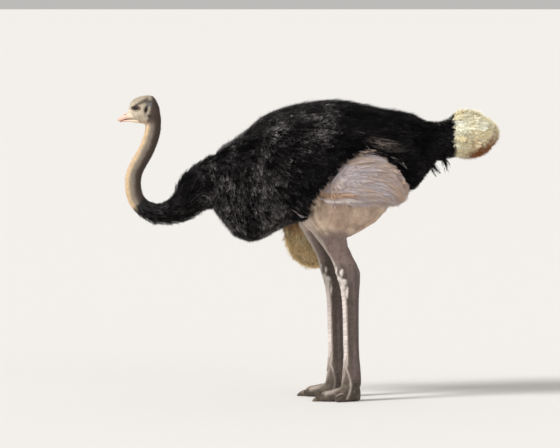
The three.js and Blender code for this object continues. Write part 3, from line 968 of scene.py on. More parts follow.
def feather_coat(name, guide, roots, facing, flow, look, slot, axis_point=(0, 0, 1.0)):
    """One piece of plumage. look holds one number per feather, or one for all."""
    count = len(roots)
    look = COMMON_LOOK | look | {"wander": 0.24 * swing(count)}
    length = look["length"] * varied(0.25, count)
    path, up = lay_shafts(guide, roots, facing, flow, length, look)
    points, share = grow_barbs(path, up, look)
    barbs, per = points.shape[1:3]
    own = look["own_tint"]
    tint = rng.random(count)[:, None] * own + rng.random((count, barbs)) * (1 - own)
    patches = patches_at(roots, axis_point, (1.0, 0, 0))
    numbers = {
        key: np.broadcast_to(np.asarray(values).reshape(count, -1, 1), (count, barbs, per)).reshape(-1, per)
        for key, values in (("tint", tint), ("tone", look["tone"]), ("shaft", share))
    }
    piece = mesh_of_ribbons(name, points.reshape(-1, per, 3), np.repeat(patches, barbs, axis=0), numbers)
    return declare(piece, slot)


def varied_look(count, sizes, amounts, depth, **rest):
    """A look whose length, barb, width, sweep, curl, droop and lift vary from feather to feather."""
    look = {key: size * varied(amount, count) for key, size, amount in zip(VARIED_KEYS, sizes, amounts)}
    return look | {"depth": np.full(count, depth)} | rest


def laid_feathers(name, places, headings, look, slot="black_plumage", guide=None):
    """A few feathers set one by one: places on the bird and the way each points."""
    roots, facing = nearest_on(guide or body_guide, places)
    headings = unit(np.array(headings, float))
    return feather_coat(name, guide or body_guide, roots, facing, lambda p, n: headings, look, slot)


def strewn(centre, reach, count):
    return np.array(centre) + swing(count, 3) * reach


def tuft_look(count, length, barb, tone, lift, droop=0.3, curl=0.5, sweep=0.55, depth=0.006, **rest):
    """A look for feathers laid one by one."""
    sizes = (length, barb, 0.0012, sweep, curl, droop, lift)
    rest = {"hold": 0.5, "messy": 0.6} | rest
    look = varied_look(count, sizes, (0.3, 0.3, 0.2, 0.3, 0.6, 0.3, 0.5), depth, **rest)
    return look | {"tone": tone * varied(0.3, count)}


# ---- Black plumage -----------------------------------------------------------------------------

# Where along x the parts of the black plumage meet: the neck's base, then breast, wing, flank and rump.
PART_ENDS = (-0.40, -0.16, 0.14, 0.36)
BLACK_PARTS = ["neck_base"]
BLACK_PARTS += [part + "_" + side for side in SIDES for part in ("breast", "wing", "flank", "rump")]


def down_neck_at(points):
    heading = along_neck(points)[1]
    return columns(-heading[:, 0], 0, -heading[:, 1])


def lie_of_body(p, n):
    """The way black feathers point: back along the trunk, down the breast, down the neck to the body."""
    x, y, z = p.T
    drooping = 1.1 * ramp(y, 0.10, 0.17) * ramp(x, 0.35, 0.0)
    back = columns(1, 0, -0.12 - 0.55 * ramp(z, 1.20, 0.85) - drooping)
    on_breast = (ramp(x, -0.08, -0.30) * ramp(z, 1.22, 1.05) * ramp(n[:, 2], 0.60, 0.20))[:, None]
    on_neck = ramp(x, -0.40, -0.50)[:, None]
    on_trunk = unit(back) * (1 - on_breast) + np.array([0.35, 0, -1.0]) * on_breast
    return unit(on_trunk) * (1 - on_neck) + down_neck_at(p) * on_neck


def look_of_black(root, facing):
    """Short on the neck and long behind, and curly over the breast and the front of the wing, where the
    curls get painted highlights.
    """
    x, _, z = root.T
    at = lambda *pairs: np.interp(x, *zip(*pairs))  # from pairs of x and a value
    flat = 1 - 0.6 * ramp(facing[:, 2], 0.15, 0.65)
    curly = np.clip(ramp(x, -0.06, -0.18) + ramp(x, 0.09, -0.01) * ramp(z, 1.08, 1.16), 0, 1)
    highlight_clumps = ramp(noise(root * [1, 1, 0.5], 0.05, 12), -0.1, 0.5)
    length = at((-0.72, 0.022), (-0.55, 0.032), (-0.42, 0.045), (-0.2, 0.060), (0.1, 0.080), (0.62, 0.085))
    behind = ((0.1, 0.030), (0.5, 0.030), (0.6, 0.016))
    barb = at((-0.72, 0.010), (-0.55, 0.014), (-0.42, 0.020), (-0.2, 0.026), *behind)
    lift = at((-0.72, 0.0005), (-0.5, 0.001), (-0.3, 0.002))
    # tone is how much painted highlight the curls get, in patches, more towards the neck
    tone = curly * ramp(x, -0.52, -0.40) * (0.40 + 0.5 * highlight_clumps)
    return {
        "length": np.minimum(length, 0.020 + np.maximum(0.604 - x, 0)),
        "barb": barb,
        "width": at((-0.72, 0.0007), (-0.5, 0.0008), (-0.3, 0.0010), (0.6, 0.0011)),
        "sweep": 0.70 + 0.20 * curly,
        "curl": 0.25 + 0.95 * curly * flat,
        "droop": 0.08 + 0.30 * curly,
        "lift": lift + 0.008 * rng.random(len(root)) ** 4,
        "depth": at((-0.72, 0.004), (-0.55, 0.008), (-0.42, 0.014), (-0.3, 0.018)),
        "tone": tone + 0.05 + 0.15 * ramp(x, -0.30, -0.46),
        "barbs": 22,
        "steps": 3,
        "own_tint": 0.85,
    }


def look_of_locks(root, facing):
    """Curled locks: a few barbs side by side, rolled over together, with painted highlights in patches and
    streaks.
    """
    x, _, z = root.T
    highlight_strokes = ramp(x, -0.08, -0.03) * ramp(x, 0.09, 0.05) * ramp(z, 1.13, 1.15) * ramp(z, 1.225, 1.20)
    highlight_clumps = ramp(noise(root * [1, 1, 0.5], 0.045, 12), -0.25, 0.45)
    highlight_damping = 1 - 0.75 * ramp(x, -0.20, -0.30) * ramp(z - 0.8 * (x + 0.3), 1.00, 1.06)
    sizes = (0.040, 0.024, 0.0011, 0.34, 1.9, 0.45, 0.0035)
    amounts = (0.35, 0.35, 0.2, 0.4, 0.5, 0.6, 0.7)
    look = varied_look(len(root), sizes, amounts, 0.004, barbs=10, messy=0.4, own_tint=0.92)
    look["curl"] *= 1 - 0.6 * ramp(facing[:, 2], 0.15, 0.65)
    # tone is how much painted highlight each lock gets, in patches and streaks, less near the base of the
    # neck
    look["tone"] = (0.34 + 1.30 * highlight_clumps * (0.5 + 0.5 * rng.random(len(root)))) * highlight_damping + 0.8 * highlight_strokes
    return look


def on_shoulder(points):
    """Where the plumage is woolly: the breast, the shoulder and the front of the folded wing."""
    x, _, z = points.T
    ragged = x + 0.04 * noise(points, 0.08, 2)
    reach = np.maximum(ramp(ragged, -0.06, -0.18), ramp(ragged, 0.10, 0.02) * ramp(z, 1.08, 1.15))
    return reach * ramp(x, -0.48, -0.40) * ramp(z, 0.66, 0.72)


def black_coats(roots, facing, parts, look_at):
    """One piece of black plumage for each part: {name: which of the roots}."""
    pieces = []
    for name, here in parts.items():
        at, out = roots[here], facing[here]
        look = look_at(at, out)
        pieces.append(feather_coat(name, body_guide, at, out, lie_of_body, look, "black_plumage"))
    return pieces


def down_coat(name, wanted, spacing, length_at, lean, blades, slot, width):
    """Short bristly down: small tufts of blades that lean down the neck, painted as the skin under them."""
    roots, facing = roots_on(skin_guide, normals_of(skin.data), wanted, spacing)
    on_head = ramp(roots[:, 2], 1.20, 1.24)[:, None]
    lie = onto(down_neck_at(roots) * (1 - on_head) + np.array([0.95, 0.0, -0.15]) * on_head, facing)
    shape = (len(roots), blades)
    blades_from = lambda least, extra, *shape: least + extra * rng.random(shape)
    length = length_at(roots) * blades_from(0.7, 0.6, len(roots))
    facing, lie, side = facing[:, None], lie[:, None], np.cross(facing, lie)[:, None]
    flat = turned(0.9 * swing(*shape), lie, side)
    start = turned(lean * blades_from(0.6, 0.8, *shape), flat, facing)
    bend = unit(start + 0.55 * flat - 0.25 * facing)
    edge = unit(np.cross(start, facing)) * (width * blades_from(0.7, 0.6, *shape))[..., None]
    size = (length[:, None] * blades_from(0.7, 0.5, *shape))[..., None]
    base = roots[:, None] - facing * 0.0004 + side * (0.0012 * swing(*shape))[..., None]
    middle = base + start * size * 0.5
    tip = middle + bend * size * 0.5
    points = np.stack([base - edge, base + edge, middle - edge * 0.7, middle + edge * 0.7, tip], 2)
    paint = head_and_neck_paint(roots)[:, None] * blades_from(0.75, 0.55, *shape, 1)
    black = blackness(roots)[:, None, None]
    paint = paint * (1 - black) + PLUMAGE_SHADE_AND_BLACK * black
    patches = np.repeat(patches_at(roots, (-0.70, 0, 1.05), (0.0, 0, 1.0)), blades, axis=0)
    paint = np.broadcast_to(paint[:, :, None], points.shape).reshape(-1, 5, 3)
    return declare(mesh_of_ribbons(name, points.reshape(-1, 5, 3), patches, {"paint": paint}), slot)


body_guide = guide_of(full, skin.data)
neck_only = (full[:, 0] < -0.55) & (zones["head"] < 0.01) & (neck_s < BLACK_UP_TO - 0.02)
body_wanted = np.maximum(body_zone, neck_only.astype(float))
body_wanted = body_wanted * (1 - past_black_edge(full, 0.070)) * (full[:, 0] < 0.590)
fine_part = (full[:, 0] < -0.40).astype(float)
coarse = roots_on(body_guide, full_normals, body_wanted * (1 - fine_part), 0.0153)
fine = roots_on(body_guide, full_normals, body_wanted * fine_part, 0.0125)
roots, facing = (np.vstack(pair) for pair in zip(coarse, fine))
part = np.digitize(roots[:, 0], PART_ENDS)
part = np.where((part > 0) & (roots[:, 1] > 0), part + 4, part)
parts = {"plumage_" + name: part == i for i, name in enumerate(BLACK_PARTS)}
black_pieces = black_coats(roots, facing, parts, look_of_black)

skin_guide = guide_of(shaped, skin.data)
limb = np.clip(zones["thigh"] + zones["leg"], 0, 1)
plain_neck = (1 - limb) * (neck_s > 0.36) * (1 - zones["head"]) * (full[:, 0] < -0.6)
face_clear = 1 - np.clip(eye_rim * 1.5 + ear_mask + hidden, 0, 1)
on_neck = lambda p: np.full(len(p), 0.0085)
on_crown = lambda p: 0.0030 + 0.0050 * ramp(p[:, 2], 1.262, 1.288) + 0.0035 * ramp(p[:, 0], -0.69, -0.67)
down_pieces = [
    down_coat("neck_down", plain_neck, 0.0042, on_neck, 0.45, 3, "neck_down", 0.00055),
    down_coat("head_down", zones["head"] * face_clear, 0.0026, on_crown, 0.35, 2, "face", 0.00035),
]

roots, facing = roots_on(body_guide, full_normals, body_wanted * on_shoulder(full), 0.0165)
parts = {"curled_locks_" + side: roots[:, 1] * sign >= 0 for side, sign in SIDES.items()}
black_pieces += black_coats(roots, facing, parts, look_of_locks)

# Quills showing between the coverts, black painted grey-brown as a sheen.
QUILLS = 30
row = np.linspace(0, 1, QUILLS)
quills = laid_feathers(
    "wing_quills",
    columns(0.218 + 0.070 * row + 0.02 * rng.random(QUILLS), LEFT_OUTSIDE, 1.137 - 0.076 * row),
    columns(1, 0, -0.16 + 0.08 * row),
    tuft_look(
        QUILLS, 0.150 - 0.055 * row, 0.020, 1.6, 0.009, droop=0.0, barbs=84, curl=0.10, hold=0.97,
        sweep=0.36, own_tint=0.80, depth=-0.003,
    ),
)  # fmt: skip

# [x, z] of the edges along the folded wing's lower rim, pale with painted highlight, from the quills to its
# hind tip; two lie above.
RIM_LINE = np.array([
    [0.243, 1.104], [0.272, 1.073], [0.318, 1.045], [0.374, 1.027], [0.413, 0.998], [0.438, 0.960],
    [0.449, 0.926],
])  # fmt: skip
RIM_SHARES = np.linspace(0, 0.9, 14)
rim_at, rim_to = (between(RIM_LINE[None], (RIM_SHARES + ahead)[None])[0] for ahead in (0, 0.1))
lone_at = [[0.196, LEFT_OUTSIDE, 1.164], [0.202, LEFT_OUTSIDE, 1.159]]
rim = laid_feathers(
    "wing_rim",
    np.vstack([np.insert(rim_at, 1, LEFT_OUTSIDE, axis=1), lone_at]),
    np.vstack([np.insert(rim_to - rim_at, 1, 0, axis=1), [[1, 0, -0.30], [1, 0, -0.34]]]),
    tuft_look(
        len(RIM_SHARES) + 2, 0.056, 0.004, 2.2, 0.008, droop=0.05, barbs=28, curl=0.2, hold=0.95, sweep=0.26,
        own_tint=0.92, depth=-0.006,
    ),
)  # fmt: skip
RUMP_TUFTS = 44
hanging = laid_feathers(
    "rump_tufts",
    strewn((0.553, 0.0, 1.016), (0.030, 0.045, 0.0), RUMP_TUFTS),
    [[0.6, 0, -1]] * RUMP_TUFTS,
    tuft_look(RUMP_TUFTS, 0.026, 0.016, 0.15, 0.044, droop=0.5, hold=0.6, barbs=16, sweep=0.40),
)
black_pieces += [rim, hanging]

# ---- White plumes ------------------------------------------------------------------------------

# How far in from the node's surface the roots of each bunch's plumes lie, and the dense down below them.
CORE_DEPTHS = {"plumes_left": (0.006, 0.014), "plumes_right": (0.006, 0.022), "tail_plumes": (0.015, 0.015)}
TAIL_ROOT = np.array([0.0, 1.14])  # [y, z] of the middle of the tail where it leaves the rump
# [z, x] of the hind edge of the left wing's plumes, from its lowest corner up.
HIND_EDGE = np.array([
    [0.800, 0.280], [0.819, 0.308], [0.836, 0.336], [0.864, 0.386], [0.892, 0.414], [0.922, 0.446],
    [0.943, 0.438], [0.982, 0.410], [1.010, 0.374], [1.032, 0.330], [1.050, 0.275],
])  # fmt: skip


def room_behind(p):
    """How far it is from each point to the hind edge of the left wing's plumes."""
    return line_at(HIND_EDGE, p[:, 2] - 0.012) - p[:, 0]


def soft_core(node, name):
    """The dense down in the middle of a bunch of plumes, and the guide that its plumes are laid on."""
    core = copy_of(node, name + "_core")
    points = remesh(core, CORE_VOXEL)
    normals = normals_of(core.data)
    inset, below = CORE_DEPTHS[node]
    inward = -normals
    if node == "tail_plumes":  # its front end reaches in among the rump's feathers
        inward = inward * np.where(normals[:, :1] < 0, [0.1, 1.0, 1.0], 1.0)
    points = points + inward * inset
    if node == "tail_plumes":
        points[:, 0] -= 0.034 * ramp(points[:, 0], 0.72, 0.64)
    guide = guide_of(points, core.data)
    points = points + inward * below
    if node == "tail_plumes":
        narrowed = (0.30 * ramp(points[:, 0], 0.645, 0.605))[:, None]
        points[:, 1:] += (TAIL_ROOT - points[:, 1:]) * narrowed
    if node == "plumes_left":
        points[:, 0] += np.minimum(room_behind(points) - 0.040, 0)
    set_points(core.data, relaxed(points, edges_of(core.data), 1.0, 8))
    pick(core)
    bpy.ops.object.shade_smooth()
    return guide, normals, declare(core, "white_plumage", node)


def lie_of_left_plumes(p, n):
    """Sweeps back from under the wing, then arches over and down."""
    x, _, z = p.T
    fall = -0.10 + 0.9 * ramp(z, 0.96, 1.05) * ramp(x, 0.22, 0.08) - 1.6 * ramp(x, 0.22, 0.45)
    return unit(columns(1, 0, fall))


def lie_of_right_plumes(p, n):
    """Hangs down, leaning back more and more towards the rump."""
    return unit(columns(0.25 + 0.6 * (p[:, 0] - 0.02) + 0.5 * noise(p, 0.06, 13), 0, -1))


def lie_of_tail(p, n):
    """Fans out from the rump, ever more ruffled towards the ends."""
    fan = (p - np.array([0.60, 0, 1.15])) * [0.3, 2.6, 2.6]
    stir = np.stack([noise(p, 0.035, seed) for seed in (21, 22, 23)], 1)
    ruffled = 0.25 + 0.95 * ramp(p[:, 0], 0.66, 0.72)
    return unit(np.array([0.9, 0, -0.16]) + fan * 1.3 + stir * ruffled[:, None])


# For each bunch: its piece, its flow, how far apart its down is, and the sizes of the down and of the long
# plumes: length, barb, width, sweep, curl, droop and lift.
WHITE_BUNCHES = {
    "plumes_left": (
        "wing_plumes_left", lie_of_left_plumes, 0.0165,
        (0.075, 0.033, 0.0016, 0.80, 0.8, 0.35, 0.000), (0.170, 0.044, 0.0016, 0.50, 0.5, 0.14, 0.005),
    ),
    "plumes_right": (
        "wing_plumes_right", lie_of_right_plumes, 0.0185,
        (0.075, 0.036, 0.0016, 0.80, 1.5, 0.35, 0.000), (0.130, 0.044, 0.0016, 0.60, 1.6, 0.75, 0.005),
    ),
    "tail_plumes": (
        "tail_feathers", lie_of_tail, 0.0155,
        (0.075, 0.030, 0.0016, 0.80, 2.2, 0.35, 0.000), (0.060, 0.032, 0.0016, 0.85, 2.3, 0.30, 0.005),
    ),
}  # fmt: skip
WHITE_AMOUNTS = (0.3, 0.2, 0.25, 0.2, 0.5, 0.5, 0.9)  # how much those sizes vary


def grow_bunch(node):
    """The core, the down and the long plumes of one bunch. Returns its guide and its pieces."""
    name, flow, spacing, down_sizes, plume_sizes = WHITE_BUNCHES[node]
    guide, normals, core = soft_core(node, name)
    points, pieces = guide["points"], [core]
    middle = (points.min(0) + points.max(0)) / 2
    wanted = np.ones(len(points))
    if node == "tail_plumes":
        wanted = ((points[:, 0] > 0.606) & (normals[:, 0] > -0.60)).astype(float)
    if node == "plumes_left":
        wanted = (room_behind(points) > 0.038).astype(float)
    for kind, gap, sizes, barbs, messy, own_tint in (
        ("", spacing, down_sizes, 18, 0.8, 0.6),
        ("_long", spacing * 1.7, plume_sizes, 44, 0.8 if node == "tail_plumes" else 0.35, 0.9),
    ):
        roots, facing = roots_on(guide, normals, wanted, gap)
        rest = {"barbs": barbs, "messy": messy, "own_tint": own_tint, "hold": 0.9, "steps": 3}
        look = varied_look(len(roots), sizes, WHITE_AMOUNTS, 0.008, **rest)
        look["tone"] = rng.random(len(roots))
        if node == "plumes_right":
            look["curl"] *= 1 + 1.4 * ramp(roots[:, 2], 0.78, 0.70)
        if node == "plumes_left":
            room = np.maximum(room_behind(roots), 0)
            look["length"] = np.minimum(look["length"], 0.006 + 0.78 * room)
            look["barb"] = np.minimum(look["barb"], 0.012 + 0.3 * room)
        piece = feather_coat(name + kind, guide, roots, facing, flow, look, "white_plumage", middle)
        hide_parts(node)
        pieces.append(piece)
    return guide, pieces


left_guide, white_pieces = grow_bunch("plumes_left")
WISPS, ENDS, STRANDS = 34, 76, 5
wisps = laid_feathers(
    "wing_plumes_left_wisps",
    strewn((0.078, LEFT_OUTSIDE, 0.925), (0.020, 0.0, 0.045), WISPS),
    columns(-0.55 + 0.9 * rng.random(WISPS), 0, -0.55 - 0.5 * rng.random(WISPS)),
    tuft_look(
        WISPS, 0.060, 0.024, 0.5, 0.006, droop=0.25, barbs=16, curl=0.6, hold=0.85, sweep=0.45, own_tint=0.85
    ),
    "white_plumage",
    left_guide,
)
# A row all along the line where the black ends, so that no bare skin shows in front of the bunch.
row_z = np.linspace(0.872, 1.056, ENDS) + 0.004 * swing(ENDS)
row_x = line_at(BLACK_EDGE, row_z) + 0.010 + 0.022 * rng.random(ENDS)
ends = laid_feathers(
    "wing_plumes_left_ends",
    columns(row_x, LEFT_OUTSIDE, row_z),
    columns(1, 0, 0.5 * swing(ENDS) - 0.25),
    tuft_look(
        ENDS, 0.070, 0.022, 0.5, 0.010, droop=0.15, barbs=20, curl=0.5, hold=0.9, sweep=0.50, own_tint=0.85
    ),
    "white_plumage",
)
strands = laid_feathers(
    "wing_plumes_left_strands",
    columns(np.linspace(-0.076, -0.040, STRANDS), LEFT_OUTSIDE, np.linspace(0.818, 0.784, STRANDS)),
    np.tile([0.74, 0.0, -0.67], (STRANDS, 1)),
    tuft_look(
        STRANDS, 0.046, 0.004, 0.5, 0.008, droop=0.1, barbs=18, curl=0.2, hold=0.9, sweep=0.25,
        own_tint=0.85, depth=-0.008,
    ),
    "white_plumage",
)  # fmt: skip
right_guide, right_pieces = grow_bunch("plumes_right")
FRONT_CURLS, LOW_CURLS = 24, 40
CURLS = FRONT_CURLS + LOW_CURLS
curls = laid_feathers(
    "wing_plumes_right_curls",
    np.vstack([
        strewn((-0.045, 0.0, 0.655), (0.030, 0.0, 0.016), FRONT_CURLS),
        strewn((0.015, 0.0, 0.628), (0.035, 0.0, 0.012), LOW_CURLS),
    ]),
    columns(0.8 * swing(CURLS), 0.5 * swing(CURLS), -0.4 - 0.6 * rng.random(CURLS)),
    tuft_look(
        CURLS, 0.034, 0.026, 0.5, 0.012, droop=0.3, barbs=14, curl=2.6, hold=0.5, sweep=0.8, own_tint=0.85,
        depth=-0.010,
    ),
    "white_plumage",
    right_guide,
)  # fmt: skip
white_pieces += [wisps, ends, strands, curls] + right_pieces + grow_bunch("tail_plumes")[1]

# ---- Plates on the legs, and eyelashes ---------------------------------------------------------

PLATE_ACROSS = np.array([-1.0, -0.88, -0.45, 0.0, 0.45, 0.88, 1.0])
PLATE_DOWN = np.array([-1.0, -0.84, -0.25, 0.40, 1.0])  # from the proud lower edge to the tucked upper edge
HEIGHT_ACROSS = np.array([-0.45, 0.70, 0.95, 1.0, 0.95, 0.70, -0.45])
HEIGHT_DOWN = np.array([-0.45, 1.0, 0.95, 0.65, -0.35])
PLATE_RISE = 0.0017
PLATE_REACH = 0.56  # how far a plate reaches down from its middle, as a share of the pitch
SHANK_LOW, SHANK_HIGH = 0.112, 0.462
CAST_FAR = 0.15  # how far plates are cast onto the skin
# The rows on the left foot's toes: from x and y, to x and y, half breadth and number of plates.
TOE_ROWS = ((0.128, -0.107, 0.060, -0.119, 0.0150, 9), (0.152, -0.148, 0.120, -0.157, 0.0085, 5))


def model_plate():
    """The plate all others are copied from: a grid's places across and down, and its faces."""
    nothing_picked()
    bpy.ops.mesh.primitive_grid_add(x_subdivisions=6, y_subdivisions=4, size=2)
    plate = bpy.context.object
    across, down, _ = points_of(plate.data).T
    faces = [list(face.vertices) for face in plate.data.polygons]
    bpy.data.objects.remove(plate)
    return np.rint((across + 1) * 3).astype(int), np.rint((down + 1) * 2).astype(int), faces


def shank_plates(across, down, side):
    """Broad plates up the front of a shank: where each is cast from, which way, and how much of the foot's
    darker colour it takes.
    """
    z = SHANK_LOW
    while z < SHANK_HIGH:
        pitch = (0.0140 + 0.0050 * ramp(z, 0.10, 0.20)) * varied(0.16)
        front, _, _ = leg_axis(z + pitch / 2, side)
        slant = 0.0022 * swing()
        turn = across * (0.92 + 0.10 * rng.random()) * (0.45 + 0.55 * ramp(z, 0.10, 0.21))
        out = columns(-np.cos(turn), np.sin(turn), 0)
        start = np.array([front + 0.030, SIDES[side] * STANCE, z + pitch / 2]) + out * 0.085
        start[:, 2] += down * pitch * PLATE_REACH + slant * across + 0.0020 * across**2
        yield start, -out, float(ramp(z, 0.20, 0.11))
        z += pitch


def toe_plates(across, down, side):
    """Small plates along the toes of one foot, cast straight down."""
    for *begin, to_x, to_y, half, number in TOE_ROWS:
        begin, step = np.array([*begin, 0.15]), np.array([to_x - begin[0], to_y - begin[1], 0.0])
        ahead = unit(step)
        beside = np.array([-ahead[1], ahead[0], 0.0])
        pitch = math.hypot(*step) / number
        for k in range(number):
            share = (k + 0.5) / number
            wide = half * (0.40 + 0.60 * ramp(share, 0.0, 0.45)) * (1 - 0.25 * share)
            middle = begin + step * share
            start = middle + beside * (across * wide)[:, None]
            start = start - ahead * (down * pitch * PLATE_REACH)[:, None]
            start = start * [1, -SIDES[side], 1] - [STRIDE if side == "right" else 0.0, 0, 0]
            yield start, np.broadcast_to([0.0, 0.0, -1.0], start.shape), 1.0


def leg_plates():
    """All the plates, laid on the skin by ray casts."""
    column, row, faces = model_plate()
    across, down = PLATE_ACROSS[column], PLATE_DOWN[row]
    height = PLATE_RISE * np.minimum(HEIGHT_ACROSS[column], HEIGHT_DOWN[row])
    per = len(height)
    rim = ((column == 0) | (column == 6) | (row == 0) | (row == 4)).astype(float)
    jobs = [job for side in SIDES for rows in (shank_plates, toe_plates) for job in rows(across, down, side)]
    points, tints, feet = [], [], []
    for start, towards, foot in jobs:
        hits = [skin_guide["tree"].ray_cast(Vector(a), Vector(d), CAST_FAR) for a, d in zip(start, towards)]
        if any(hit[0] is None for hit in hits):
            continue
        places, facing = (np.array([hit[k] for hit in hits]) for k in (0, 1))
        facing = unit(0.5 * facing + 0.5 * facing.mean(axis=0))
        points.append(places + facing * height[:, None])
        tints.append(rng.random())
        feet.append(foot)
    mesh = bpy.data.meshes.new("leg_plates")
    corners = [[k * per + v for v in face] for k in range(len(points)) for face in faces]
    mesh.from_pydata(np.vstack(points).tolist(), [], corners)
    put_attribute(mesh, "tint", np.repeat(tints, per))
    put_attribute(mesh, "foot", np.repeat(feet, per))
    put_attribute(mesh, "rim", np.tile(rim, len(points)))
    piece = shown("leg_plates", mesh)
    modify(piece, "SOLIDIFY", thickness=0.0010, offset=-1.0)
    face_outward(piece)
    bpy.ops.object.shade_smooth()
    return declare(piece, "leg_scales")


LASHES = 26


def eyelashes(side):
    """Stiff dark lashes that curve out and up from the upper lid."""
    sign = SIDES[side]
    angle = np.linspace(0.30, 2.75, LASHES) + 0.05 * swing(LASHES)
    c, s = math.cos(LID_TILT), math.sin(LID_TILT)
    u, v = LID_HALF[0] * 1.12 * np.cos(angle), LID_HALF[1] * 1.22 * np.sin(angle)
    x, z = u * c - v * s, u * s + v * c
    y = np.sqrt(np.maximum(EYE_RADIUS**2 - x**2 - z**2, 0)) + 0.0012
    root = EYE_CENTRE * [1, sign, 1] + columns(x, y * sign, z)
    out = unit(columns(0.5 * x / LID_HALF[0], 0.95 * sign, 0.30 + 0.2 * v / LID_HALF[1]))
    up = unit(columns(0.7 * x / LID_HALF[0] - 0.15, 0.50 * sign, 0.75))
    length = 0.0085 * (0.75 + 0.5 * rng.random(LASHES)) * (0.6 + 0.4 * np.sin(angle))
    edge = unit(np.cross(out, up)) * 0.00030
    middle = root + out * (length * 0.5)[:, None]
    tip = middle + up * (length * 0.6)[:, None]
    points = np.stack([root - edge, root + edge, middle - edge * 0.8, middle + edge * 0.8, tip], 1)
    patches = 0.02 + 0.9 * columns(np.linspace(0, 1, LASHES), 0.5 if sign > 0 else 0.2)
    paint = np.broadcast_to(EAR_SHADE_AND_LASH_BLACK * 0.6, points.shape)
    return declare(mesh_of_ribbons("eyelashes_" + side, points, patches, {"paint": paint}), "face")


plates = leg_plates()
lashes = [eyelashes(side) for side in SIDES]

# ---- Finishes ----------------------------------------------------------------------------------


def rgba(*swatch):
    return (*[float(v) for v in paint_of(*swatch)], 1.0)


class Nodes:
    """Adds nodes to one shader tree. Values are sockets or plain numbers."""

    def __init__(self, tree):
        self.tree = tree

    def put(self, kind, inputs=None, **settings):
        node = self.tree.nodes.new("ShaderNode" + kind)
        for key, value in settings.items():
            setattr(node, key, value)
        for key, value in (inputs or {}).items():
            if isinstance(value, bpy.types.NodeSocket):
                self.tree.links.new(value, node.inputs[key])
            else:
                node.inputs[key].default_value = value
        return node

    def number(self, operation, *values, clamp=False):
        return self.put("Math", dict(enumerate(values)), operation=operation, use_clamp=clamp).outputs[0]

    def times(self, first, *others, clamp=False):
        for other in others:
            first = self.number("MULTIPLY", first, other, clamp=clamp and other is others[-1])
        return first

    def scaled(self, value, factor, added):
        return self.number("MULTIPLY_ADD", value, factor, added)

    def less(self, value, taken):
        return self.number("SUBTRACT", value, taken)

    def eased(self, value, low, high, out_low=0.0, out_high=1.0):
        """A smooth step between low and high; works downhill too."""
        inputs = {"Value": value, "From Min": low, "From Max": high, "To Min": out_low, "To Max": out_high}
        return self.put("MapRange", inputs, interpolation_type="SMOOTHSTEP").outputs[0]

    def mixed(self, share, first, second, blend="MIX"):
        inputs = {0: share, 6: first, 7: second}
        return self.put("Mix", inputs, data_type="RGBA", blend_type=blend).outputs[2]

    def coated(self, colour, *layers):
        """Lays colours over one another, from (share, colour) or (share, colour, blend) rows."""
        for share, *rest in layers:
            colour = self.mixed(share, colour, *rest)
        return colour

    def greyed(self, colour, value):
        """The colour, darkened or lightened by a value."""
        grey = self.put("CombineColor", {0: value, 1: value, 2: value}).outputs[0]
        return self.mixed(1.0, colour, grey, "MULTIPLY")

    def attribute(self, name, output="Fac"):
        return self.put("Attribute", attribute_name=name).outputs[output]

    def place(self):
        return self.put("TexCoord").outputs["Object"]

    def split(self, vector=None):
        return self.put("SeparateXYZ", {0: vector or self.place()}).outputs

    def vector(self, operation, other, output=0):
        """The place moved, stretched or measured against another vector."""
        return self.put("VectorMath", {0: self.place(), 1: other}, operation=operation).outputs[output]

    def stretched(self, *scale):
        return self.put("Mapping", {"Vector": self.place(), "Scale": scale}).outputs[0]

    def grain(self, scale, detail=3.0, vector=None):
        inputs = {"Vector": vector or self.place(), "Scale": scale, "Detail": detail, "Roughness": 0.55}
        return self.put("TexNoise", inputs).outputs[0]

    def cells(self, scale, vector=None, feature="F1", **inputs):
        inputs = {"Vector": vector or self.place(), "Scale": scale, **inputs}
        return self.put("TexVoronoi", inputs, feature=feature).outputs

    def placed(self, group, **inputs):
        inputs = {key.replace("_", " "): value for key, value in inputs.items()}
        return self.put("Group", inputs, node_tree=group).outputs

    def dusty(self, height, amount):
        return self.placed(dust, Height=height, Amount=amount)["Mask"]


class Group(Nodes):
    """A shader node group. Inputs go by name, with a plain number, a vector or a colour."""

    def __init__(self, name, **inputs):
        super().__init__(bpy.data.node_groups.new(name, "ShaderNodeTree"))
        for key, default in inputs.items():
            kind = "Float" if isinstance(default, float) else {3: "Vector", 4: "Color"}[len(default)]
            key = key.replace("_", " ")
            socket = self.tree.interface.new_socket(key, in_out="INPUT", socket_type="NodeSocket" + kind)
            socket.default_value = default
        self.given = self.tree.nodes.new("NodeGroupInput").outputs

    def gives(self, **outputs):
        """Wires up what the group puts out, and returns its tree."""
        for key in outputs:
            kind = "NodeSocketColor" if key == "Colour" else "NodeSocketFloat"
            self.tree.interface.new_socket(key, in_out="OUTPUT", socket_type=kind)
        end = self.tree.nodes.new("NodeGroupOutput")
        for key, value in outputs.items():
            self.tree.links.new(value, end.inputs[key])
        return self.tree


class Finish(Nodes):
    """A material, with plain numbers set on the shader itself."""

    def __init__(self, name, **settings):
        self.material = bpy.data.materials.new(name)
        self.material.use_nodes = True
        super().__init__(self.material.node_tree)
        self.shader = self.tree.nodes["Principled BSDF"].inputs
        for key, value in settings.items():
            self.shader[key.replace("_", " ")].default_value = value

    def wired(self, colour, roughness, height=None, distance=None):
        """Wires up the shader, and returns the material."""
        self.tree.links.new(colour, self.shader["Base Color"])
        self.tree.links.new(roughness, self.shader["Roughness"])
        if height is not None:
            bump = self.put("Bump", {"Height": height, "Strength": 1.0, "Distance": distance})
            self.tree.links.new(bump.outputs[0], self.shader["Normal"])
        return self.material


BLACK, WHITE = (0, 0, 0, 1), (1, 1, 1, 1)


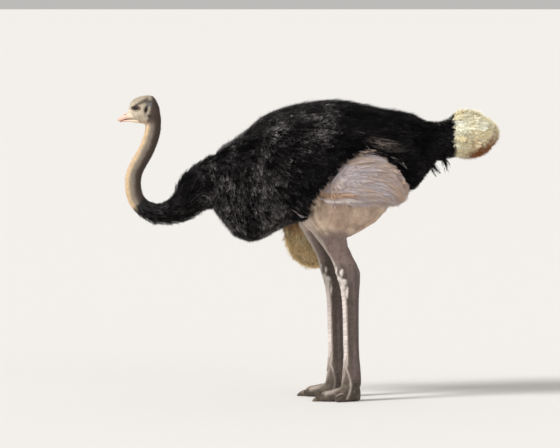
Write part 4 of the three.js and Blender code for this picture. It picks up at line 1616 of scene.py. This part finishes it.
def make_feather_tone():
    """Barbs dark at the root with painted highlights where they curl over, more so on some feathers than on
    others.
    """
    n = Group("feather_tone", Dark=BLACK, Light=WHITE, Warm=BLACK, Amount=1.0)
    patch = n.eased(n.grain(9.0), 0.36, 0.66)
    fine = n.eased(n.grain(60.0), 0.42, 0.62)
    curl = n.times(n.eased(n.attribute("along"), 0.15, 0.95), n.eased(n.attribute("tint"), 0.30, 0.80))
    highlight_streaks = n.times(curl, n.attribute("tone"), n.number("ADD", patch, 0.25), n.scaled(fine, 0.6, 0.4))
    share = n.times(highlight_streaks, n.given["Amount"], clamp=True)
    warm = n.times(n.eased(n.grain(5.0, vector=n.stretched(1, 1, 2)), 0.52, 0.70), 0.5)
    colour = n.coated(n.given["Dark"], (warm, n.given["Warm"]), (share, n.given["Light"]))
    return n.gives(Colour=colour, Roughness=n.eased(share, 0, 1, 0.62, 0.42))


def make_plume_tone():
    """Pale plumes: cream bands, ends stained round one place, which on the right bunch is painted shade
    instead, a stripe of painted shadow with a pale line below, and painted shade towards each barb's root.
    """
    n = Group(
        "plume_tone", White=WHITE, Cream=WHITE, Stain=BLACK, Cream_share=0.5, Stain_place=(0, 0, 0),
        Stain_reach=0.1, Stain_strength=1.0, Band_height=0.0, Band_strength=0.0, Band_end=0.0,
    )  # fmt: skip
    tint = n.attribute("tint")
    bands = n.times(n.grain(7.0, 2.0, n.stretched(1.0, 1.0, 2.2)), 0.8)
    cream = n.times(n.eased(n.scaled(tint, 0.45, bands), 0.46, 0.80), n.given["Cream share"])
    # staining round one place; on the right bunch it is painted shade
    apart = n.vector("DISTANCE", n.given["Stain place"], "Value")
    near = n.number("SUBTRACT", 1.0, n.number("DIVIDE", apart, n.given["Stain reach"]), clamp=True)
    rough = n.times(n.eased(n.grain(28.0), 0.30, 0.70), 0.35)
    patchy = n.eased(n.number("ADD", near, rough), 0.30, 0.85)
    stain_and_shade = n.number("MULTIPLY", n.times(patchy, near), n.given["Stain strength"], clamp=True)
    x, _, z = n.split()
    # painted shadow: a darker stripe at a set height, in front of a set x, with a pale line under it
    above = n.less(n.scaled(n.grain(7.0), 0.05, n.less(z, 0.025)), n.given["Band height"])
    strength = n.times(n.given["Band strength"], n.eased(n.less(x, n.given["Band end"]), 0.03, -0.05))
    shadow_band = n.times(n.eased(n.number("ABSOLUTE", above), 0.018, 0.009), strength, clamp=True)
    below = n.number("ABSOLUTE", n.number("ADD", above, 0.026))
    line = n.times(n.eased(below, 0.009, 0.003), strength, clamp=True)
    colour = n.coated(
        n.given["White"],
        (cream, n.given["Cream"]),
        (stain_and_shade, n.given["Stain"]),
        (shadow_band, n.given["Stain"]),
        (line, rgba(244, 232, 226)),
    )
    shade = n.times(n.eased(n.attribute("along"), 0.0, 0.5, 0.88, 1.0), n.eased(tint, 0.0, 1.0, 0.88, 1.04))
    return n.gives(Colour=n.greyed(colour, shade), Roughness=n.eased(stain_and_shade, 0, 1, 0.58, 0.75))


def make_wrinkles():
    """Fine crossing folds of soft skin: a height, and a mask of the creases, for painted shade in them."""
    n = Group("skin_wrinkles", Size=200.0, Stretch=(1, 1, 1))
    place = n.vector("MULTIPLY", n.given["Stretch"])
    edge = n.cells(n.given["Size"], place, "DISTANCE_TO_EDGE")["Distance"]
    soft = n.grain(n.given["Size"], 4.0, place)
    crease_shade = n.times(n.eased(edge, 0.16, 0.0), n.eased(soft, 0.35, 0.65))
    return n.gives(Height=n.scaled(soft, 0.7, n.times(edge, 1.1)), Crease=crease_shade)


def make_scales():
    """Small horny scales in rows: a domed height, a mask of the seams, and a number for each scale."""
    n = Group("horny_scales", Size=120.0, Stretch=(1, 1, 1))
    place = n.vector("MULTIPLY", n.given["Stretch"])
    edge = n.cells(n.given["Size"], place, "DISTANCE_TO_EDGE", Randomness=0.55)["Distance"]
    cell = n.cells(n.given["Size"], place, Randomness=0.55)["Color"]
    each = n.put("SeparateColor", {0: cell}).outputs[0]
    return n.gives(Height=n.eased(edge, 0.0, 0.16), Seam=n.eased(edge, 0.10, 0.0), Each=each)


def make_dust():
    """Pale dust that settles low down and in patches."""
    n = Group("dust", Height=0.2, Amount=0.5)
    low = n.number("SUBTRACT", 1.0, n.number("DIVIDE", n.split()[2], n.given["Height"]), clamp=True)
    patch = n.eased(n.grain(35.0, 5.0), 0.38, 0.68)
    return n.gives(Mask=n.times(low, patch, n.given["Amount"], clamp=True))


feather_tone, plume_tone = make_feather_tone(), make_plume_tone()
wrinkles, scales, dust = make_wrinkles(), make_scales(), make_dust()


def black_feather_finish():
    n = Finish("black_feathers", Specular_IOR_Level=0.06)
    # the light swatch is the grey of the painted highlights on curled barbs
    dark, light, warm = rgba(5, 4, 6), rgba(160, 154, 152), rgba(17, 13, 11)
    tone = n.placed(feather_tone, Dark=dark, Light=light, Warm=warm, Amount=2.2)
    return n.wired(tone["Colour"], tone["Roughness"])


def quill_finish():
    """Black vanes painted grey-brown as a sheen, fading to black at both ends."""
    n = Finish("grey_quills", Specular_IOR_Level=0.25)
    # the light swatch is a painted highlight on the curls, over the painted sheen
    dark, light, warm = rgba(52, 45, 42), rgba(134, 122, 112), rgba(78, 66, 58)
    tone = n.placed(feather_tone, Dark=dark, Light=light, Warm=warm, Amount=1.0)
    shaft = n.attribute("shaft")
    middle = n.scaled(n.times(n.eased(shaft, 0.05, 0.35), n.eased(shaft, 1.0, 0.62)), 0.85, 0.12)
    return n.wired(n.mixed(middle, rgba(12, 10, 10), tone["Colour"]), tone["Roughness"])


def white_plume_finish(name, white, cream, stain_and_shade, **places):
    n = Finish(name, Sheen_Weight=0.15, Sheen_Roughness=0.5, Specular_IOR_Level=0.25)
    tone = n.placed(plume_tone, White=rgba(*white), Cream=rgba(*cream), Stain=rgba(*stain_and_shade), **places)
    return n.wired(tone["Colour"], tone["Roughness"])


def down_finish():
    n = Finish("bristly_down", Sheen_Weight=0.10, Specular_IOR_Level=0.3)
    streak = n.eased(n.grain(220.0), 0.3, 0.7, 0.80, 1.15)
    return n.wired(n.greyed(n.attribute("paint", "Color"), streak), n.eased(streak, 0.8, 1.15, 0.7, 0.5))


def skin_finish():
    """Bare skin all over: folds on thigh and neck with painted shade in their creases, scales on the legs,
    damp rims round the eyes.
    """
    radius = (0.004, 0.0015, 0.001)
    n = Finish("bare_skin", Specular_IOR_Level=0.35, Subsurface_Weight=0.06, Subsurface_Radius=radius)
    thigh, leg, rim = (n.attribute(name) for name in ("thigh", "leg", "eye_rim"))
    soft = n.placed(wrinkles, Size=150.0, Stretch=(1.0, 1.0, 0.55))
    fine = n.placed(wrinkles, Size=420.0, Stretch=(1.0, 1.0, 1.5))
    horn = n.placed(scales, Size=150.0, Stretch=(1.0, 1.0, 0.8))
    goose = n.eased(n.cells(95.0)["Distance"], 0.34, 0.05)
    blotch = n.eased(n.grain(42.0, 5.0), 0.32, 0.70)
    folds = n.number("MAXIMUM", soft["Crease"], fine["Crease"])
    colour = n.coated(
        n.attribute("paint", "Color"),
        (n.times(blotch, 0.28), rgba(120, 84, 70), "MULTIPLY"),
        # painted shade in the skin's creases, less on the legs
        (n.times(folds, n.number("SUBTRACT", 0.34, leg, clamp=True)), rgba(92, 66, 54), "MULTIPLY"),
        (n.times(goose, thigh, 0.25), rgba(214, 186, 166)),
        (n.times(horn["Seam"], n.times(leg, 0.38)), rgba(44, 36, 32)),
        (n.times(horn["Each"], leg, 0.12), rgba(172, 154, 136)),
        (n.dusty(0.22, 0.24), rgba(164, 142, 120)),
        (n.times(rim, 0.85), rgba(46, 32, 27)),
    )
    roughness = n.less(n.less(n.eased(blotch, 0, 1, 0.62, 0.50), n.times(rim, 0.25)), n.times(leg, 0.08))
    height = n.times(fine["Height"], 0.35)
    height = n.scaled(soft["Height"], n.scaled(thigh, 0.9, 0.15), height)
    height = n.scaled(goose, n.times(thigh, 0.6), height)
    height = n.scaled(horn["Height"], n.times(leg, 1.3), height)
    return n.wired(colour, roughness, height, 0.0011)


def eye_finish(side):
    """A dark pupil, a brown iris with fine spokes, and a wet coat."""
    n = Finish("eye_" + side, Coat_Weight=0.7, Coat_Roughness=0.03, Specular_IOR_Level=0.2)
    x, _, z = n.split(n.vector("SUBTRACT", tuple(EYE_CENTRE * [1, SIDES[side], 1])))
    radius = n.number("SQRT", n.number("ADD", n.number("POWER", x, 2.0), n.number("POWER", z, 2.0)))
    ring = {0: n.times(n.number("ARCTAN2", z, x), 9.0), 1: n.times(radius, 120.0)}
    spokes = n.eased(n.grain(3.0, 4.0, n.put("CombineXYZ", ring).outputs[0]), 0.35, 0.65)
    colour = n.coated(
        rgba(44, 26, 16),
        (spokes, rgba(84, 52, 30)),
        (n.eased(radius, 0.0066, 0.0058), rgba(8, 6, 6)),
        (n.eased(radius, 0.0098, 0.0112), rgba(24, 16, 13)),
    )
    return n.wired(colour, n.eased(spokes, 0, 1, 0.10, 0.18))


def bill_finish():
    """Pinkish horn, paler along the ridge and at the tip, red brown at the lips darkened as painted shade
    where the bills meet, painted shade in the nostrils, with growth lines.
    """
    radius = (0.003, 0.001, 0.0007)
    n = Finish("bill_horn", Specular_IOR_Level=0.4, Subsurface_Weight=0.08, Subsurface_Radius=radius)
    x = n.split()[0]
    colour = n.coated(
        rgba(222, 180, 162),
        (n.eased(n.grain(90.0, 5.0, n.stretched(0.35, 1, 2.6)), 0.35, 0.70), rgba(238, 208, 190)),
        (n.times(n.attribute("ridge"), 0.75), rgba(238, 222, 204)),
        (n.times(n.eased(x, -0.786, -0.756), 0.75), rgba(238, 222, 196)),
        (n.times(n.eased(x, -0.800, -0.812), 0.6), rgba(206, 176, 150)),
        # painted shade along the line where the bills meet
        (n.times(n.attribute("lips"), 0.90), rgba(112, 62, 46)),
        # painted shade in the nostril openings, which the bill has no holes for
        (n.times(n.attribute("nostril"), 0.95), rgba(48, 26, 20)),
    )
    wave = {"Vector": n.place(), "Scale": 70.0, "Distortion": 3.0, "Detail": 3.0}
    rings = n.put("TexWave", wave, bands_direction="X").outputs[1]
    scratch = n.grain(500.0, 4.0, n.stretched(0.3, 1, 1))
    height = n.scaled(rings, 0.35, n.times(scratch, 0.5))
    return n.wired(colour, n.eased(scratch, 0.3, 0.7, 0.36, 0.52), height, 0.0004)


def claw_finish():
    n = Finish("claw_horn", Specular_IOR_Level=0.45)
    streak = n.grain(160.0, 5.0, n.stretched(0.3, 1.4, 1.4))
    colour = n.coated(
        rgba(44, 36, 31),
        (n.eased(streak, 0.35, 0.7), rgba(92, 78, 66)),
        (n.dusty(0.06, 0.9), rgba(150, 130, 110)),
    )
    return n.wired(colour, n.eased(streak, 0.3, 0.7, 0.38, 0.58), streak, 0.0006)


def plate_finish():
    """Worn horny plates: pale as a painted highlight of the lit front, dark between, dusty low down."""
    n = Finish("leg_plates", Specular_IOR_Level=0.42)
    wear = n.grain(180.0, 5.0, n.stretched(1, 1, 0.5))
    colour = n.coated(
        # painted highlight: the plates' pale base stands in for light along the lit front of the shank
        rgba(194, 180, 174),
        (n.attribute("tint"), rgba(220, 207, 200)),
        (n.eased(wear, 0.50, 0.80, 0.0, 0.40), rgba(150, 134, 122)),
        (n.times(n.attribute("rim"), 0.22), rgba(132, 118, 108)),
        (n.times(n.attribute("foot"), 0.75), rgba(104, 90, 78)),
        (n.dusty(0.30, 0.4), rgba(168, 148, 124)),
    )
    return n.wired(colour, n.eased(wear, 0.3, 0.7, 0.40, 0.60), wear, 0.0005)


# The white, cream and staining swatches of each bunch, and where and how strongly it is stained; on the
# right bunch the staining is painted shade under the body instead.
WHITES = {
    # painted shade: this bunch's whites are painted greyer than the tail's, and its stripe is a painted
    # shadow line along its lower edge
    "wing_plumes_left": (
        (200, 190, 194), (186, 160, 138), (190, 156, 128),
        {"Cream_share": 0.8, "Stain_place": (0.44, -0.20, 0.91), "Stain_reach": 0.15, "Stain_strength": 0.6,
         "Band_height": 0.886, "Band_strength": 0.9, "Band_end": 0.22},
    ),
    "wing_plumes_right_curls": (
        # the warm swatches of these curls partly stand in for warm light bounced up onto them
        (255, 236, 196), (255, 222, 170), (255, 214, 156),
        {"Cream_share": 0.5, "Stain_place": (-0.06, 0.23, 0.80), "Stain_reach": 0.10, "Stain_strength": 0.5},
    ),
    # painted shade: the brown at the top of this bunch is shade under the body, and its warm whites partly
    # stand in for warm light bounced up from the ground
    "wing_plumes_right": (
        (255, 240, 196), (252, 218, 160), (150, 104, 70),
        {"Cream_share": 0.9, "Stain_place": (-0.09, 0.23, 0.78), "Stain_reach": 0.17, "Stain_strength": 1.1},
    ),
    "tail_feathers": (
        (255, 253, 236), (255, 240, 194), (168, 112, 62),
        {"Cream_share": 0.7, "Stain_place": (0.775, 0.0, 1.035), "Stain_reach": 0.18, "Stain_strength": 2.0},
    ),
}  # fmt: skip


def coat_with(material, pieces):
    for piece in pieces:
        piece.data.materials.append(material)


skin.data.materials.clear()
coat_with(skin_finish(), [skin])
for side in SIDES:
    coat_with(eye_finish(side), [eyes[side]])
coat_with(bill_finish(), bill)
coat_with(claw_finish(), claws)
coat_with(black_feather_finish(), black_pieces)
coat_with(down_finish(), down_pieces + lashes)
coat_with(quill_finish(), [quills])
coat_with(plate_finish(), [plates])
for name, (*swatches, places) in WHITES.items():
    waiting = [piece for piece in white_pieces if piece.name.startswith(name) and not piece.data.materials]
    coat_with(white_plume_finish(name, *swatches, **places), waiting)

# ---- Studio ------------------------------------------------------------------------------------

FLOOR_RADIUS = 1500
CAMERA_FAR = 18  # how far the camera stands off
CAMERA_VIEW = 2.408  # breadth of the view at the bird
CAMERA_TILT = math.radians(3)
SENSOR = 36
# Name, where it stands, its softness in degrees, and its strength.
LIGHTS = (("key", (-0.80, -0.45, 0.72), 16, 2.9), ("fill", (0.55, -0.90, 0.35), 50, 0.48))


def make_floor():
    nothing_picked()
    below = (0, 0, -0.0005)
    bpy.ops.mesh.primitive_circle_add(vertices=96, radius=FLOOR_RADIUS, fill_type="NGON", location=below)
    floor = bpy.context.object
    floor.name = "studio_floor"
    pale = Finish("pale_floor", Base_Color=(0.82, 0.80, 0.77, 1), Roughness=0.9)
    coat_with(pale.material, [floor])


def make_lights():
    world = bpy.data.worlds.new("studio_air")
    world.use_nodes = True
    air = world.node_tree.nodes["Background"].inputs
    air["Color"].default_value = (1.0, 0.985, 0.96, 1)
    air["Strength"].default_value = 0.50
    bpy.context.scene.world = world
    for name, towards, softness, strength in LIGHTS:
        light = shown(name + "_light", bpy.data.lights.new(name + "_light", "SUN"))
        light.data.angle = math.radians(softness)
        light.data.energy = strength
        light.rotation_euler = Vector(towards).to_track_quat("Z", "Y").to_euler()


def make_camera():
    camera = shown("camera", bpy.data.cameras.new("camera"))
    camera.data.sensor_width = SENSOR
    camera.data.lens = SENSOR * CAMERA_FAR / CAMERA_VIEW
    camera.data.clip_end = 3000
    aim = Vector((-0.120, 0, 0.7537))
    camera.location = aim + CAMERA_FAR * Vector((0, -math.cos(CAMERA_TILT), math.sin(CAMERA_TILT)))
    camera.rotation_euler = (math.pi / 2 - CAMERA_TILT, 0, 0)
    bpy.context.scene.camera = camera


make_floor()
make_lights()
make_camera()

bpy.context.scene.view_settings.view_transform = "Standard"
